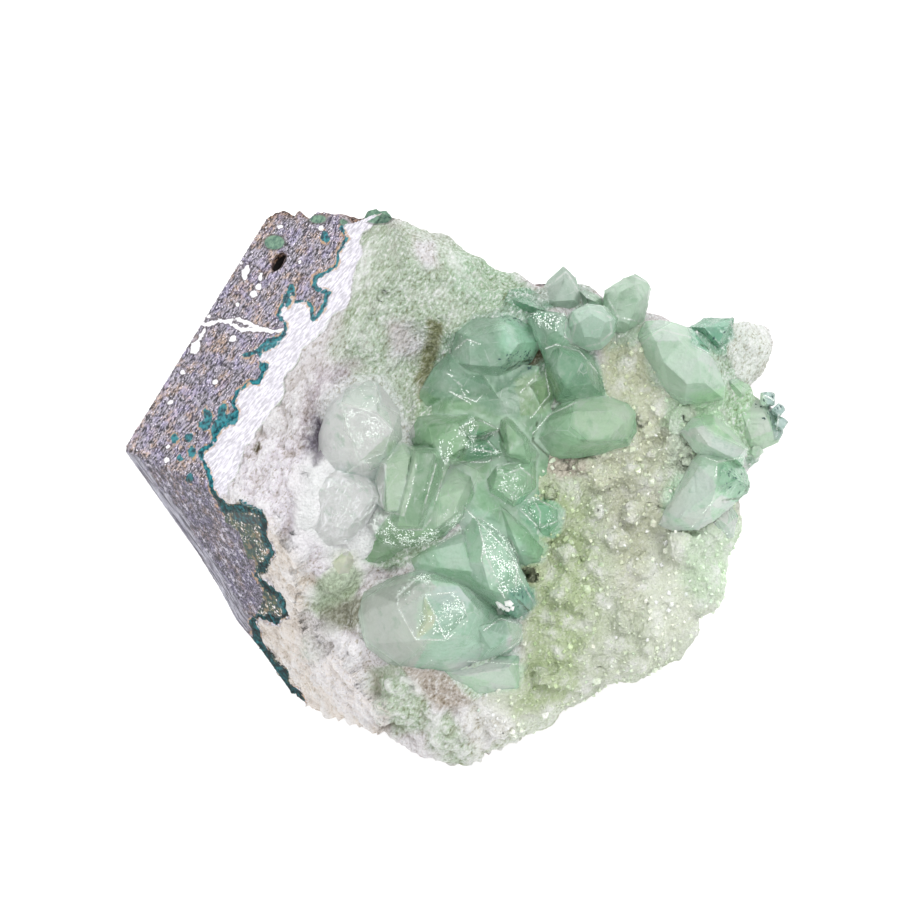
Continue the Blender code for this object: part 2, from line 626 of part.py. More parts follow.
def seam_sheet(name, lift):
    """A closed solid that fills everything over the seam's wavy surface, raised by lift."""
    bm = bmesh.new()
    bmesh.ops.create_grid(bm, x_segments=SHEET_CELLS[0], y_segments=SHEET_CELLS[1], size=0.5)
    for vertex in bm.verts:
        x, y = vertex.co.x * SHEET_SPAN[0], vertex.co.y * SHEET_SPAN[1]
        vertex.co = Vector((x, y, seam_height(x, y))) * MM
    sheet = new_object(name, bm, keep=False)
    decimate(sheet, SEAM_TRIANGLES)
    bm = bmesh.new()
    bm.from_mesh(sheet.data)
    bmesh.ops.translate(bm, verts=bm.verts[:], vec=(0, 0, lift * MM))
    raised = bmesh.ops.extrude_face_region(bm, geom=bm.faces[:])
    for vertex in [v for v in raised["geom"] if isinstance(v, bmesh.types.BMVert)]:
        vertex.co.z = SHEET_TOP * MM
    bmesh.ops.recalc_face_normals(bm, faces=bm.faces[:])
    bm.to_mesh(sheet.data)
    bm.free()
    return sheet


def split_by_seam(whole):
    """The chunk as basalt, celadonite and mordenite, with a hair gap between them."""
    over_basalt = seam_sheet("over_basalt", 0.0)
    over_gap = seam_sheet("over_gap", GAP)
    over_seam = seam_sheet("over_seam", GAP + SEAM_THICKNESS)
    over_all = seam_sheet("over_all", 2 * GAP + SEAM_THICKNESS)
    basalt = boolean(duplicate(whole, "basalt_matrix"), over_basalt, "DIFFERENCE")
    seam = boolean(duplicate(whole, "celadonite_seam"), over_gap, "INTERSECT")
    seam = boolean(seam, over_seam, "DIFFERENCE")
    crust = boolean(duplicate(whole, "mordenite_crust"), over_all, "INTERSECT")
    remove(over_basalt, over_gap, over_seam, over_all)
    return basalt, seam, crust


def bodies_of(bm):
    """The separate bodies of a mesh, as sets of vertices."""
    left, bodies = set(bm.verts), []
    while left:
        body, front = set(), [left.pop()]
        while front:
            vertex = front.pop()
            body.add(vertex)
            near = {e.other_vert(vertex) for e in vertex.link_edges} & left
            left -= near
            front.extend(near)
        bodies.append(body)
    return bodies


def keep_body(obj, chosen):
    """Deletes every body of an object but the one that chosen picks from the list of them."""
    bm = bmesh.new()
    bm.from_mesh(obj.data)
    keep = chosen(bodies_of(bm))
    bmesh.ops.delete(bm, geom=[v for v in bm.verts if v not in keep], context="VERTS")
    bm.to_mesh(obj.data)
    bm.free()


def largest_body(obj):
    """Crumbs left by a cut fall away."""
    keep_body(obj, lambda bodies: max(bodies, key=len))


def prism_planes(width, length, kept):
    """(normal, distance) of the faces of a crystal that stands on its root with its tip up +Z."""
    planes = [(Vector((0, 0, -1)), 0.0), (Vector((0, 0, 1)), length * kept)]
    for quarter in range(4):
        side = math.radians(90 * quarter)
        planes.append((Vector((math.cos(side), math.sin(side), 0)), width / 2))
        corner = side + math.radians(45)
        across, up = math.sin(PYRAMID_SLOPE), math.cos(PYRAMID_SLOPE)
        planes.append((Vector((across * math.cos(corner), across * math.sin(corner), up)), length * up))
    return planes


def corners_of(planes):
    """The corners of the convex solid inside a set of planes."""
    corners = []
    for three in combinations(planes, 3):
        rows = np.array([normal for normal, _ in three])
        if abs(np.linalg.det(rows)) < 1e-6:
            continue
        point = np.linalg.solve(rows, np.array([distance for _, distance in three]))
        if all(np.dot(normal, point) <= distance + 1e-6 for normal, distance in planes):
            corners.append(Vector(point))
    return corners


def add_hull(bm, corners):
    """The convex solid of a set of corners in millimetres."""
    single = bmesh.new()
    for corner in corners:
        single.verts.new(corner * MM)
    bmesh.ops.remove_doubles(single, verts=single.verts[:], dist=1e-6)
    hull = bmesh.ops.convex_hull(single, input=single.verts[:])
    loose = [v for v in hull["geom_interior"] if isinstance(v, bmesh.types.BMVert)]
    bmesh.ops.delete(single, geom=loose, context="VERTS")
    bmesh.ops.dissolve_limit(
        single, angle_limit=math.radians(1), verts=single.verts[:], edges=single.edges[:]
    )
    bmesh.ops.recalc_face_normals(single, faces=single.faces[:])
    mesh = bpy.data.meshes.new("hull")
    single.to_mesh(mesh)
    single.free()
    bm.from_mesh(mesh)
    bpy.data.meshes.remove(mesh)


def add_prism(bm, root, tip, width, turn_degrees, kept):
    """One tetragonal crystal, from its root to its pyramid's end, cut short by its blunt end face."""
    root, tip = Vector(root), Vector(tip)
    axis = tip - root
    stand = axis.to_track_quat("Z", "Y").to_matrix().to_4x4()
    place = Matrix.Translation(root) @ stand @ Matrix.Rotation(math.radians(turn_degrees), 4, "Z")
    add_hull(bm, [place @ corner for corner in corners_of(prism_planes(width, axis.length, kept))])


def crystal_corners(name, swell):
    """The corners of a large crystal, pushed away from its middle by swell."""
    rim_over, rim, crown = CRYSTALS[name]
    middle = Vector(np.mean(rim, axis=0))
    seat = crust_height(*middle)
    leaning = name in LEANING_ROOTS
    root = Vector(LEANING_ROOTS[name]) if leaning else middle
    share, depth = (LEANING_SHARE, LEANING_DEPTH) if leaning else (1.0, ROOT_DEPTH)
    corners = [Vector((x, y, seat + rim_over)) for x, y in rim]
    for x, y in rim:
        foot = root + (Vector((x, y)) - middle) * share
        corners.append(Vector((foot.x, foot.y, seat - depth)))
    corners += [Vector((x, y, seat + over)) for x, y, over in crown]
    heart = sum(corners, Vector()) / len(corners)
    return [corner + (corner - heart).normalized() * swell for corner in corners]


def crystal_object(name, swell=0.0):
    """One large crystal from the table, swollen where it serves as a cutter."""
    bm = bmesh.new()
    add_hull(bm, crystal_corners(name, swell))
    return new_object(name, bm)


def cube_object(x, y, z, width):
    """A small blocky crystal, set askew."""
    bm = bmesh.new()
    root, tip = (
        (x + lean_x, y + lean_y, z + rise * width) for lean_x, lean_y, rise in (CUBE_ROOT, CUBE_TIP)
    )
    add_prism(bm, root, tip, width, CUBE_TURN * x, CUBE_KEPT)
    return new_object("cube", bm)


def fused(members):
    """Crystals grown together, as one mesh."""
    whole = members[0]
    for member in members[1:]:
        boolean(whole, member, "UNION")
        remove(member)
    return whole


def nearest_body(bodies, point):
    """The body with the vertex nearest a point."""
    return min(bodies, key=lambda body: min((v.co - point).length_squared for v in body))


def cleared_of_rock(obj, rock_body):
    """Cuts an object back to the rock's skin, and then a hair further up and out."""
    boolean(obj, rock_body, "DIFFERENCE")
    lifted = duplicate(rock_body, "lifted")
    spread = Matrix.Diagonal((1 + GAP / RIM_REACH, 1 + GAP / RIM_REACH, 1.0, 1.0))
    lifted.data.transform(Matrix.Translation((0, 0, GAP * MM)) @ spread)
    boolean(obj, lifted, "DIFFERENCE")
    remove(lifted)


def apophyllite(rock_body):
    """Every crystal, cut clear of the crust. Those that touch are one solid, named after its first."""
    whole = fused([crystal_object(name) for name in CRYSTALS] + [cube_object(*cube) for cube in CUBES])
    cleared_of_rock(whole, rock_body)
    clusters, sizes = [], []
    for name in CRYSTALS:
        crown_corner = crystal_corners(name, 0.0)[-1] * MM
        copy = duplicate(whole, f"apophyllite_{name}")
        keep_body(copy, lambda bodies: nearest_body(bodies, crown_corner))
        size = tuple(round(length, 6) for length in copy.dimensions), len(copy.data.vertices)
        if size in sizes:
            remove(copy)
            continue
        sizes.append(size)
        clusters.append(copy)
    remove(whole)
    return clusters


def druse_grain(rng):
    """One short crystal of the druse, or None where it would fall outside the patch."""
    across, along = rng.uniform(-1, 1, 2)
    lean_x, lean_y = rng.normal(0, DRUSE_LEAN, 2)
    width = rng.uniform(*DRUSE_WIDTH)
    turn = rng.uniform(0, 90)
    x = DRUSE_CENTRE[0] + across * DRUSE_REACH[0]
    y = DRUSE_CENTRE[1] + along * DRUSE_REACH[1]
    rim = np.hypot(OUTLINE[:, 0] - x, OUTLINE[:, 1] - y).min()
    if across * across + along * along > 1 or rim < DRUSE_RIM:
        return None
    height = crust_height(x, y)
    bm = bmesh.new()
    tip = (x + lean_x * width, y + lean_y * width, height + width)
    add_prism(bm, (x, y, height - width), tip, width, turn, DRUSE_KEPT)
    return new_object("grain", bm)


def druse(crust):
    """Fuses the druse's short crystals and the lying prism to the crust, clear of the large crystals."""
    rng = np.random.default_rng(DRUSE_SEED)
    grains = []
    while len(grains) < DRUSE_COUNT:
        grain = druse_grain(rng)
        if grain is not None:
            grains.append(grain)
    start, end, width, turn, kept = LYING_PRISM
    bm = bmesh.new()
    ends = [(x, y, crust_height(x, y) + over) for x, y, over in (start, end)]
    add_prism(bm, ends[0], ends[1], width, turn, kept)
    grains.append(new_object("prism", bm))
    patch = fused(grains)
    swollen = fused([crystal_object(name, DRUSE_CLEARANCE) for name in CRYSTALS])
    boolean(patch, swollen, "DIFFERENCE")
    boolean(crust, patch, "UNION")
    remove(patch, swollen)
    largest_body(crust)


def open_vesicles(basalt):
    """Hollows out the gas holes that the upper saw cut opened."""
    normal = sawn_normal(CORNER_LEFT, CORNER_TOP, SAWN_TOP_SLOPE)
    for x, y, half_length, half_width, turn, depth in VESICLES:
        on_face = (normal.x * (CORNER_LEFT[0] - x) + normal.y * (CORNER_LEFT[1] - y)) / normal.z
        bm = bmesh.new()
        add_ellipsoid(bm, (x, y, on_face), (half_length, half_width, depth), turn, subdivisions=2)
        hole = new_object("vesicle", bm)
        boolean(basalt, hole, "DIFFERENCE")
        remove(hole)


def centre_on_origin(objects):
    """Puts the middle of the whole specimen's underside at the origin."""
    points = np.array([v.co for obj in objects for v in obj.data.vertices])
    middle = (points.min(axis=0) + points.max(axis=0)) / 2
    for obj in objects:
        obj.data.transform(Matrix.Translation((-middle[0], -middle[1], 0)))


def main():
    remove(*bpy.data.objects)
    whole = rock()
    basalt, seam, crust = split_by_seam(whole)
    for part in (basalt, seam, crust):
        largest_body(part)
    druse(crust)
    open_vesicles(basalt)
    clusters = apophyllite(whole)
    remove(whole)
    nodes = [basalt, seam, crust, *clusters]
    for obj in nodes:
        name, colour, roughness = LOOKS.get(obj.name, CRYSTAL_LOOK)
        found = bpy.data.materials.get(name) or material(name, colour, roughness)
        obj.data.materials.clear()
        obj.data.materials.append(found)
    centre_on_origin(nodes)


main()
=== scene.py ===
"""Looks of an apophyllite specimen on mordenite and sawn basalt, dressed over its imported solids.

Lengths are in millimetres unless a name says otherwise. Places on the specimen are given in the pixels
of its photograph, which was taken from straight above, and turned into plan positions by on_photo."""

import itertools
import json
import math

import bmesh
import bpy
import numpy as np
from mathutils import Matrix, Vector
from mathutils.bvhtree import BVHTree

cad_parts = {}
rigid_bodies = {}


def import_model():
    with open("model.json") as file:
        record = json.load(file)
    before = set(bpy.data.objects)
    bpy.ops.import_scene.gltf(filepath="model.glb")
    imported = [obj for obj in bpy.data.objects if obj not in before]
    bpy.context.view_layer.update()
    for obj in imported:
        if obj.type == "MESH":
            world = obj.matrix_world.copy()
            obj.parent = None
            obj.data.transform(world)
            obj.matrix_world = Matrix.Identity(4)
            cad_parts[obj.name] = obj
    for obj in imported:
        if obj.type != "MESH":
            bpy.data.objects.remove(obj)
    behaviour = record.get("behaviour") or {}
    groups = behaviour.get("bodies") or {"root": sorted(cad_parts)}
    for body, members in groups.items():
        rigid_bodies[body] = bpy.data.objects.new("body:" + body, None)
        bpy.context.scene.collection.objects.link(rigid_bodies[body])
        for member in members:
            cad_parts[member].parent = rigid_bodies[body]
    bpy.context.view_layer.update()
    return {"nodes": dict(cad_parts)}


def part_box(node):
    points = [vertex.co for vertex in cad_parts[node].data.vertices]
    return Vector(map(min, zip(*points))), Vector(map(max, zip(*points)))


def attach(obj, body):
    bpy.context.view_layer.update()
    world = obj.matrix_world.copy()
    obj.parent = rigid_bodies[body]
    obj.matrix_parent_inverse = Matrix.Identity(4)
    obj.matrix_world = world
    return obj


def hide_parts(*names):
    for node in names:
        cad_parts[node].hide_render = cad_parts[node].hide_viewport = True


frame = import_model()

MM = 0.001

# The photograph: its scale, and the pixel over the frame's origin.
PIXELS_A_MM = 6.0
PHOTO_ZERO = np.array((456.24, 488.06))
PHOTO_WIDTH = 923.0

# The sawn faces: outward normal, and distance from the origin.
SAWN_UPPER = (np.array((-0.6274, 0.3872, 0.6756)), 37.151)
SAWN_LOWER = (np.array((-0.7391, -0.5246, 0.4226)), 37.345)

ROCK_NODES = ("basalt_matrix", "celadonite_seam", "mordenite_crust")
CRYSTAL_NODES = (
    "apophyllite_centre",
    "apophyllite_dome",
    "apophyllite_arrow",
    "apophyllite_rim_plate",
    "apophyllite_rim_low",
)
ROCK_VOXEL = 0.39
SEAM_CLOSING = 0.25
BASALT, SEAM, CRUST = 0, 1, 2
# Stands for a distance that is too great to matter, and a height above every piece.
FAR = 9
ABOVE_ALL = 60


def on_photo(*pixels):
    """Plan positions, in mm, of places given in the photograph's pixels."""
    offsets = (np.array(pixels, float) - PHOTO_ZERO) / PIXELS_A_MM
    return offsets * (1, -1)


# The celadonite line across the two sawn faces, from the top rim down to the lower corner.
SEAM_UPPER = on_photo(
    (342, 228), (347, 239), (339, 252), (337, 265), (328, 272), (315, 278), (314, 287), (322, 291),
    (329, 293), (324, 306), (318, 317), (313, 320), (312, 308), (307, 301), (296, 302), (292, 287),
    (281, 308), (278, 315), (286, 324), (285, 334), (279, 339), (270, 341), (254, 352), (245, 356),
    (261, 350), (259, 361), (264, 367), (259, 382), (250, 381), (238, 391), (233, 402), (237, 413),
    (215, 432), (215, 443), (200, 452), (207, 469),
)
SEAM_LOWER = on_photo(
    (216, 497), (226, 508), (246, 509), (262, 513), (266, 522), (264, 531), (272, 552), (266, 563),
    (256, 574), (266, 587), (279, 594), (285, 604), (284, 615), (275, 620), (258, 615), (252, 622),
    (257, 637), (264, 652), (273, 666), (284, 672), (284, 684), (296, 692), (304, 701),
)
SEAM_TOP_END = on_photo((342, 190))
SEAM_LOW_END = on_photo((312, 740))
FAR_LEFT = on_photo((40, 740), (40, 190))
SEAM_HALF_WIDTH = 0.32
SEAM_HALF_WIDTH_LOWER = 0.6

# Spots: x, y, half length and half width in pixels, turn in degrees.
TEAL_SPOTS = (
    (264, 367, 5, 5, 0), (208, 416, 4, 8, 20), (222, 412, 9, 4, 70), (232, 420, 6, 5, 0),
    (217, 428, 5, 9, -20), (226, 421, 13, 6, 30), (205, 425, 6, 5, 0), (174, 439, 4, 5, 0),
    (189, 437, 5, 4, 30), (192, 452, 4, 6, 10), (180, 458, 3, 3, 0), (190, 478, 4, 5, 0),
    (325, 237, 4, 6, 20), (287, 300, 4, 7, 10), (270, 346, 9, 3, 25), (247, 519, 17, 4.5, -14),
    (265, 538, 3, 9, 10), (270, 591, 9, 2.5, -30), (268, 658, 2.5, 8, 25), (283, 604, 6, 4, -30),
)
PALE_SPOTS = (
    (245, 272, 8, 4, 75), (258, 287, 3, 3, 0), (253, 294, 4, 3, 0), (260, 276, 2.5, 4, 0),
    (195, 347, 7, 5, 60), (233, 339, 4, 3, 20), (322, 228, 3, 3, 0), (215, 382, 2.5, 2.5, 0),
    (237, 304, 2.5, 2, 0), (166, 460, 3, 3, 0), (208, 316, 3, 2, 0), (182, 372, 2.5, 2, 0),
    (170, 402, 3, 2, 30), (240, 262, 2, 2, 0), (279, 226, 4, 2, 0), (300, 262, 2, 2, 0),
    (226, 470, 3, 2, 0), (168, 447, 2, 2, 0),
)
GREEN_SPOTS = ((274, 242, 10, 7, 0), (378, 216, 15, 8, 0), (318, 219, 8, 4, 0), (344, 222, 4, 3, 0))
PALE_VEINS = (
    on_photo((197, 322), (207, 324), (218, 320), (228, 322), (241, 330), (259, 329), (272, 332), (286, 330)),
    on_photo((228, 322), (236, 318), (247, 322), (259, 329)),
    on_photo((204, 330), (196, 344)),
)
VEIN_HALF_WIDTH = 0.32
HOLES = ((281, 263, 11, 4.5, 52),)
# On the lower cut, celadonite and zeolite fill a ragged cavity, and the basalt is smeared along its edge.
MOTTLED_PATCHES = (
    on_photo((222, 503), (262, 503), (269, 513), (266, 528), (270, 545), (262, 562), (248, 558), (240, 532),
             (226, 522)),
    on_photo((254, 552), (270, 554), (272, 570), (262, 580), (256, 570)),
    on_photo((264, 588), (286, 597), (287, 616), (272, 622), (256, 616), (262, 604)),
    on_photo((268, 648), (280, 664), (290, 672), (290, 688), (306, 700), (292, 698), (276, 676)),
)
LOWER_RIM = on_photo((126, 452), (148, 486), (178, 518), (188, 540), (208, 566), (226, 594), (246, 626))
# The sawn face beyond this line is not bare: the green felt grew over it.
SATIN_EDGE = on_photo(
    (352, 190), (380, 222), (365, 236), (360, 256), (355, 278), (345, 310), (326, 330), (304, 352),
    (288, 376), (281, 402), (262, 424), (246, 446), (236, 470), (226, 520), (60, 560), (60, 190),
)
# Bare basalt shows from above along the rim over the upper cut.
BARE_RIM = ((240, 190), (408, 190), (404, 222), (352, 226), (240, 260))
# The skin down to this deep under a cut's plane is drawn onto the cut, which stands out by the shift, in mm.
SAWN_DEPTH = 1.4
SAWN_SHIFT = 0.45
# The lower cut isn't quite flat: how far its foot stands out, in mm, along the way from its left end to its
# right end.
BELLY_ENDS = on_photo((127.4, 447.9), (302, 694))
BELLY_PLACES = (0.42, 0.55, 0.675, 0.8, 1.0, 1.08, 1.2)
BELLY_DEPTHS = (0, 0.4, 1.2, 0.7, 0.7, 0.5, 0)
BELLY_REACH = 9.0
# The broken sides of the crust stand out by this much, in mm.
SIDE_SHIFT = 0.2
# Lumps of broken basalt stand out over the upper cut, and bumps of the crust's rim stand back where the
# height is below zero: x and y in pixels, reach and height in mm.
RIM_LUMPS = (
    (284, 220, 4.5, 2.0), (262, 232, 2.5, 0.8), (300, 216, 3.0, 0.8), (538, 274, 4.5, -2.8),
    (552, 280, 3.5, -1.2), (679, 320, 5.0, -1.6),
)
NODULE_HEIGHT = 0.9
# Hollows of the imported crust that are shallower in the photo. A share of their depth is filled, where they
# lie above a height, and bumps over the filling are left standing this much.
FILLED_HOLLOWS = (
    on_photo((300, 606), (318, 608), (332, 628), (334, 652), (322, 664), (304, 656), (294, 630)),
    on_photo((520, 560), (544, 558), (550, 586), (522, 592)),
    on_photo((540, 448), (566, 454), (570, 480), (542, 480)),
    on_photo((664, 402), (696, 402), (700, 464), (664, 466)),
)
FILL_SHARE = 0.92
FILL_ABOVE = 6.0
BUMP_LEFT = 0.35
# The crust wraps over the broken sides down to this height.
SKIRT_HEIGHT = 6.0
# How far the borders of zones wander from their outlines.
WANDERING = 0.9
# The crust grew up the crystals this near to them, and takes on their colour this near.
GROWN_UP = 1.1
STAINED = 2.6
# Each rock's skin is closed by a cap this far in, toward a place in the middle.
CAP_DEPTH = 1.2
CORE = Vector((0, 0, 10 * MM))


def linear(colour):
    """A display colour from 0 to 255 as the shaders take it."""
    share = np.asarray(colour, float) / 255
    return np.where(share <= 0.04045, share / 12.92, ((share + 0.055) / 1.055) ** 2.4)


# Zones of the crust, a few of them painted shade: colour, softness of the edge in mm, outline.
CRUST_COLOUR = (222, 217, 220)
CRUST_ZONES = {
    "lower right rim": ((214, 223, 204), 1.0, (470, 790), (470, 740), (560, 705), (640, 660), (690, 615),
        (715, 580), (770, 590), (740, 690), (600, 770)),
    "green velvet": ((182, 200, 177), 3.0, (360, 222), (420, 222), (475, 246), (512, 275), (530, 300),
        (515, 322), (460, 345), (440, 372), (425, 400), (395, 385), (352, 372), (335, 352), (345, 325),
        (368, 290), (380, 245)),
    "velvet beside the satin": ((178, 195, 170), 0.6, (364, 226), (390, 228), (386, 270), (372, 310),
        (352, 330), (344, 320), (352, 290), (360, 256)),
    "velvet right of it": ((173, 200, 172), 2.0, (455, 250), (500, 262), (535, 292), (520, 312),
        (480, 312), (450, 290)),
    "white patch above": ((222, 220, 224), 1.2, (412, 236), (436, 238), (440, 262), (424, 268),
        (410, 254)),
    "white patch beside": ((216, 214, 218), 1.6, (385, 325), (412, 322), (428, 345), (412, 362),
        (388, 356)),
    "pink velvet": ((196, 186, 194), 1.6, (318, 372), (360, 362), (372, 385), (345, 410), (330, 455),
        (305, 470), (300, 420)),
    "green below velvet": ((182, 198, 176), 1.6, (352, 370), (400, 375), (425, 392), (420, 425),
        (385, 420), (350, 395)),
    "white middle": ((240, 234, 243), 2.0, (225, 438), (300, 440), (330, 480), (330, 540), (305, 580),
        (280, 545), (262, 515), (235, 500)),
    # Painted shade in a recess.
    "painted shade in the purple recess": ((96, 88, 104), 0.6, (313, 422), (324, 414), (329, 436), (325, 462), (314, 470),
        (309, 446)),
    "cream band": ((242, 232, 222), 1.2, (262, 515), (285, 540), (300, 560), (318, 580), (320, 600),
        (300, 625), (300, 650), (312, 674), (345, 705), (388, 735), (350, 745), (280, 705), (255, 640),
        (258, 612), (282, 600), (262, 560)),
    "silk beside the left crystals": ((224, 226, 225), 1.2, (300, 470), (350, 500), (385, 500),
        (380, 540), (350, 575), (320, 560), (300, 520)),
    "green and white fur": ((182, 200, 170), 1.2, (310, 585), (340, 555), (362, 570), (350, 602),
        (333, 625), (308, 640)),
    "green edge of the fold": ((190, 206, 184), 0.8, (306, 630), (325, 622), (330, 660), (318, 668),
        (302, 650)),
    # Painted shadow in a deep fold.
    "painted shadow in the deep fold": ((150, 152, 130), 0.8, (326, 607), (352, 598), (372, 606), (368, 620), (345, 630),
        (318, 626)),
    "lilac ridge": ((255, 251, 255), 1.2, (318, 640), (340, 625), (368, 645), (392, 700), (376, 722),
        (340, 705), (315, 678)),
    "green knobs": ((190, 208, 182), 1.2, (372, 668), (400, 660), (430, 690), (425, 725), (395, 735),
        (372, 700)),
    # Painted shade under a crystal.
    "painted pink shade under a crystal": ((200, 190, 180), 1.0, (405, 668), (440, 672), (472, 690), (478, 712), (450, 712),
        (418, 694)),
    "green foot": ((196, 212, 188), 1.2, (425, 712), (450, 715), (470, 745), (466, 768), (445, 760),
        (425, 745)),
    "white foot": ((238, 238, 232), 1.2, (468, 695), (515, 690), (530, 712), (505, 735), (478, 748),
        (462, 725)),
    # Painted shade in the crease beside the crystals.
    "painted shade in the crease": ((146, 150, 112), 0.5, (428, 318), (440, 322), (436, 360), (428, 395), (418, 410),
        (416, 392), (424, 355)),
    "beside crystals": ((172, 188, 156), 0.8, (425, 385), (440, 350), (455, 345), (450, 400), (430, 430),
        (412, 430)),
    "druse": ((206, 214, 192), 2.0, (530, 470), (570, 425), (600, 380), (640, 340), (680, 345),
        (700, 420), (745, 480), (745, 560), (700, 620), (660, 670), (590, 690), (520, 720), (490, 700),
        (520, 650), (530, 560)),
    "yellow druse": ((186, 201, 160), 2.4, (535, 480), (580, 480), (600, 560), (590, 640), (570, 700),
        (515, 714), (530, 620), (525, 560)),
    "beige druse": ((218, 222, 197), 1.6, (560, 440), (600, 430), (640, 385), (665, 400), (660, 460),
        (640, 500), (590, 490)),
    "pink druse": ((210, 214, 190), 1.8, (610, 470), (650, 450), (672, 520), (660, 600), (625, 610),
        (610, 540)),
    "white druse": ((224, 230, 212), 2.0, (655, 520), (700, 520), (735, 560), (700, 620), (650, 650),
        (635, 600)),
    "green edge": ((208, 226, 200), 1.6, (690, 530), (748, 520), (745, 590), (700, 610), (680, 575)),
    "gap beside the arrow": ((202, 206, 178), 1.4, (600, 345), (640, 330), (665, 345), (650, 395),
        (615, 400), (598, 380)),
    "ball": ((224, 230, 222), 1.0, (722, 318), (750, 316), (772, 335), (772, 372), (750, 392), (726, 372),
        (716, 345)),
    "green between the rim crystals": ((184, 208, 178), 1.0, (700, 345), (722, 350), (735, 385),
        (752, 392), (748, 420), (735, 440), (700, 425), (690, 405), (680, 430), (664, 430), (662, 400),
        (690, 385)),
    "brown speck": ((92, 54, 28), 0.12, (208, 475), (216, 468), (219, 471), (211, 478)),
    "olive speck above": ((96, 84, 60), 0.12, (252, 448), (256, 442), (261, 445), (257, 451)),
    "olive speck": ((110, 118, 60), 0.4, (459, 762), (472, 762), (472, 774), (459, 774)),
}
# Hollows and stains that keep their own colour right up to the crystals, the dark hollows as painted shade:
# colour, softness, outline.
PAINTED_SHADE_AND_STAINS = (
    # Painted shade in the purple recess.
    ((118, 110, 126), 0.8, (314, 414), (326, 416), (331, 440), (326, 462), (314, 470), (307, 448)),
    ((192, 210, 180), 1.0, (318, 572), (345, 560), (362, 572), (356, 600), (332, 614), (314, 610)),
    # Painted shadow in the deep fold.
    ((162, 164, 146), 1.2, (322, 610), (350, 598), (376, 602), (368, 616), (345, 622), (324, 624)),
    # Painted shade in the crease.
    ((140, 146, 108), 0.7, (430, 316), (442, 322), (438, 360), (430, 392), (420, 408), (418, 386),
        (426, 350)),
    # Painted shade in a crevice between crystals.
    ((96, 88, 62), 0.4, (530, 352), (542, 348), (548, 356), (520, 374), (508, 370)),
    ((242, 238, 240), 1.0, (298, 612), (312, 606), (326, 622), (334, 648), (322, 662), (306, 650)),
    ((200, 212, 172), 0.5, (522, 564), (542, 562), (544, 584), (522, 586)),
    ((216, 208, 192), 0.6, (544, 450), (562, 458), (588, 456), (586, 474), (560, 480), (542, 472)),
    ((214, 226, 206), 0.6, (672, 430), (690, 420), (702, 436), (698, 458), (684, 470), (668, 466)),
)
# The folds of the lower crust run down and to the right, twice as long as wide.
FOLD_AXES = np.array(((0.94, 0.34, 0), (-0.17, 0.47, 0), (0, 0, 1)))
SUGARY_OUTLINE = on_photo(
    (520, 470), (560, 425), (600, 345), (650, 330), (690, 330), (720, 420), (760, 480), (760, 560),
    (710, 630), (660, 685), (590, 700), (520, 730), (480, 712), (500, 680), (522, 640), (530, 560),
)
SUGARY_EDGE = 1.5
KNOBBY_OUTLINE = on_photo(
    (225, 440), (300, 380), (350, 370), (370, 410), (345, 500), (350, 545), (365, 600), (400, 650),
    (440, 668), (480, 700), (520, 700), (530, 740), (470, 790), (400, 760), (300, 730), (235, 640),
    (245, 560), (235, 505), (215, 490),
)

KNOBBY_EDGE = 3.0
# Silky fibres lie smooth over the crust beside the left crystals.
SILK_OUTLINE = on_photo(
    (296, 470), (330, 440), (392, 470), (392, 500), (372, 545), (362, 575), (335, 585), (322, 560),
    (296, 540),
)
SILK_EDGE = 1.2
# The silk's fibres run down and to the left.
SILK_AXES = np.array(((0.77, 0.16, 0), (-0.64, 0.19, 0), (0, 0, 1)))

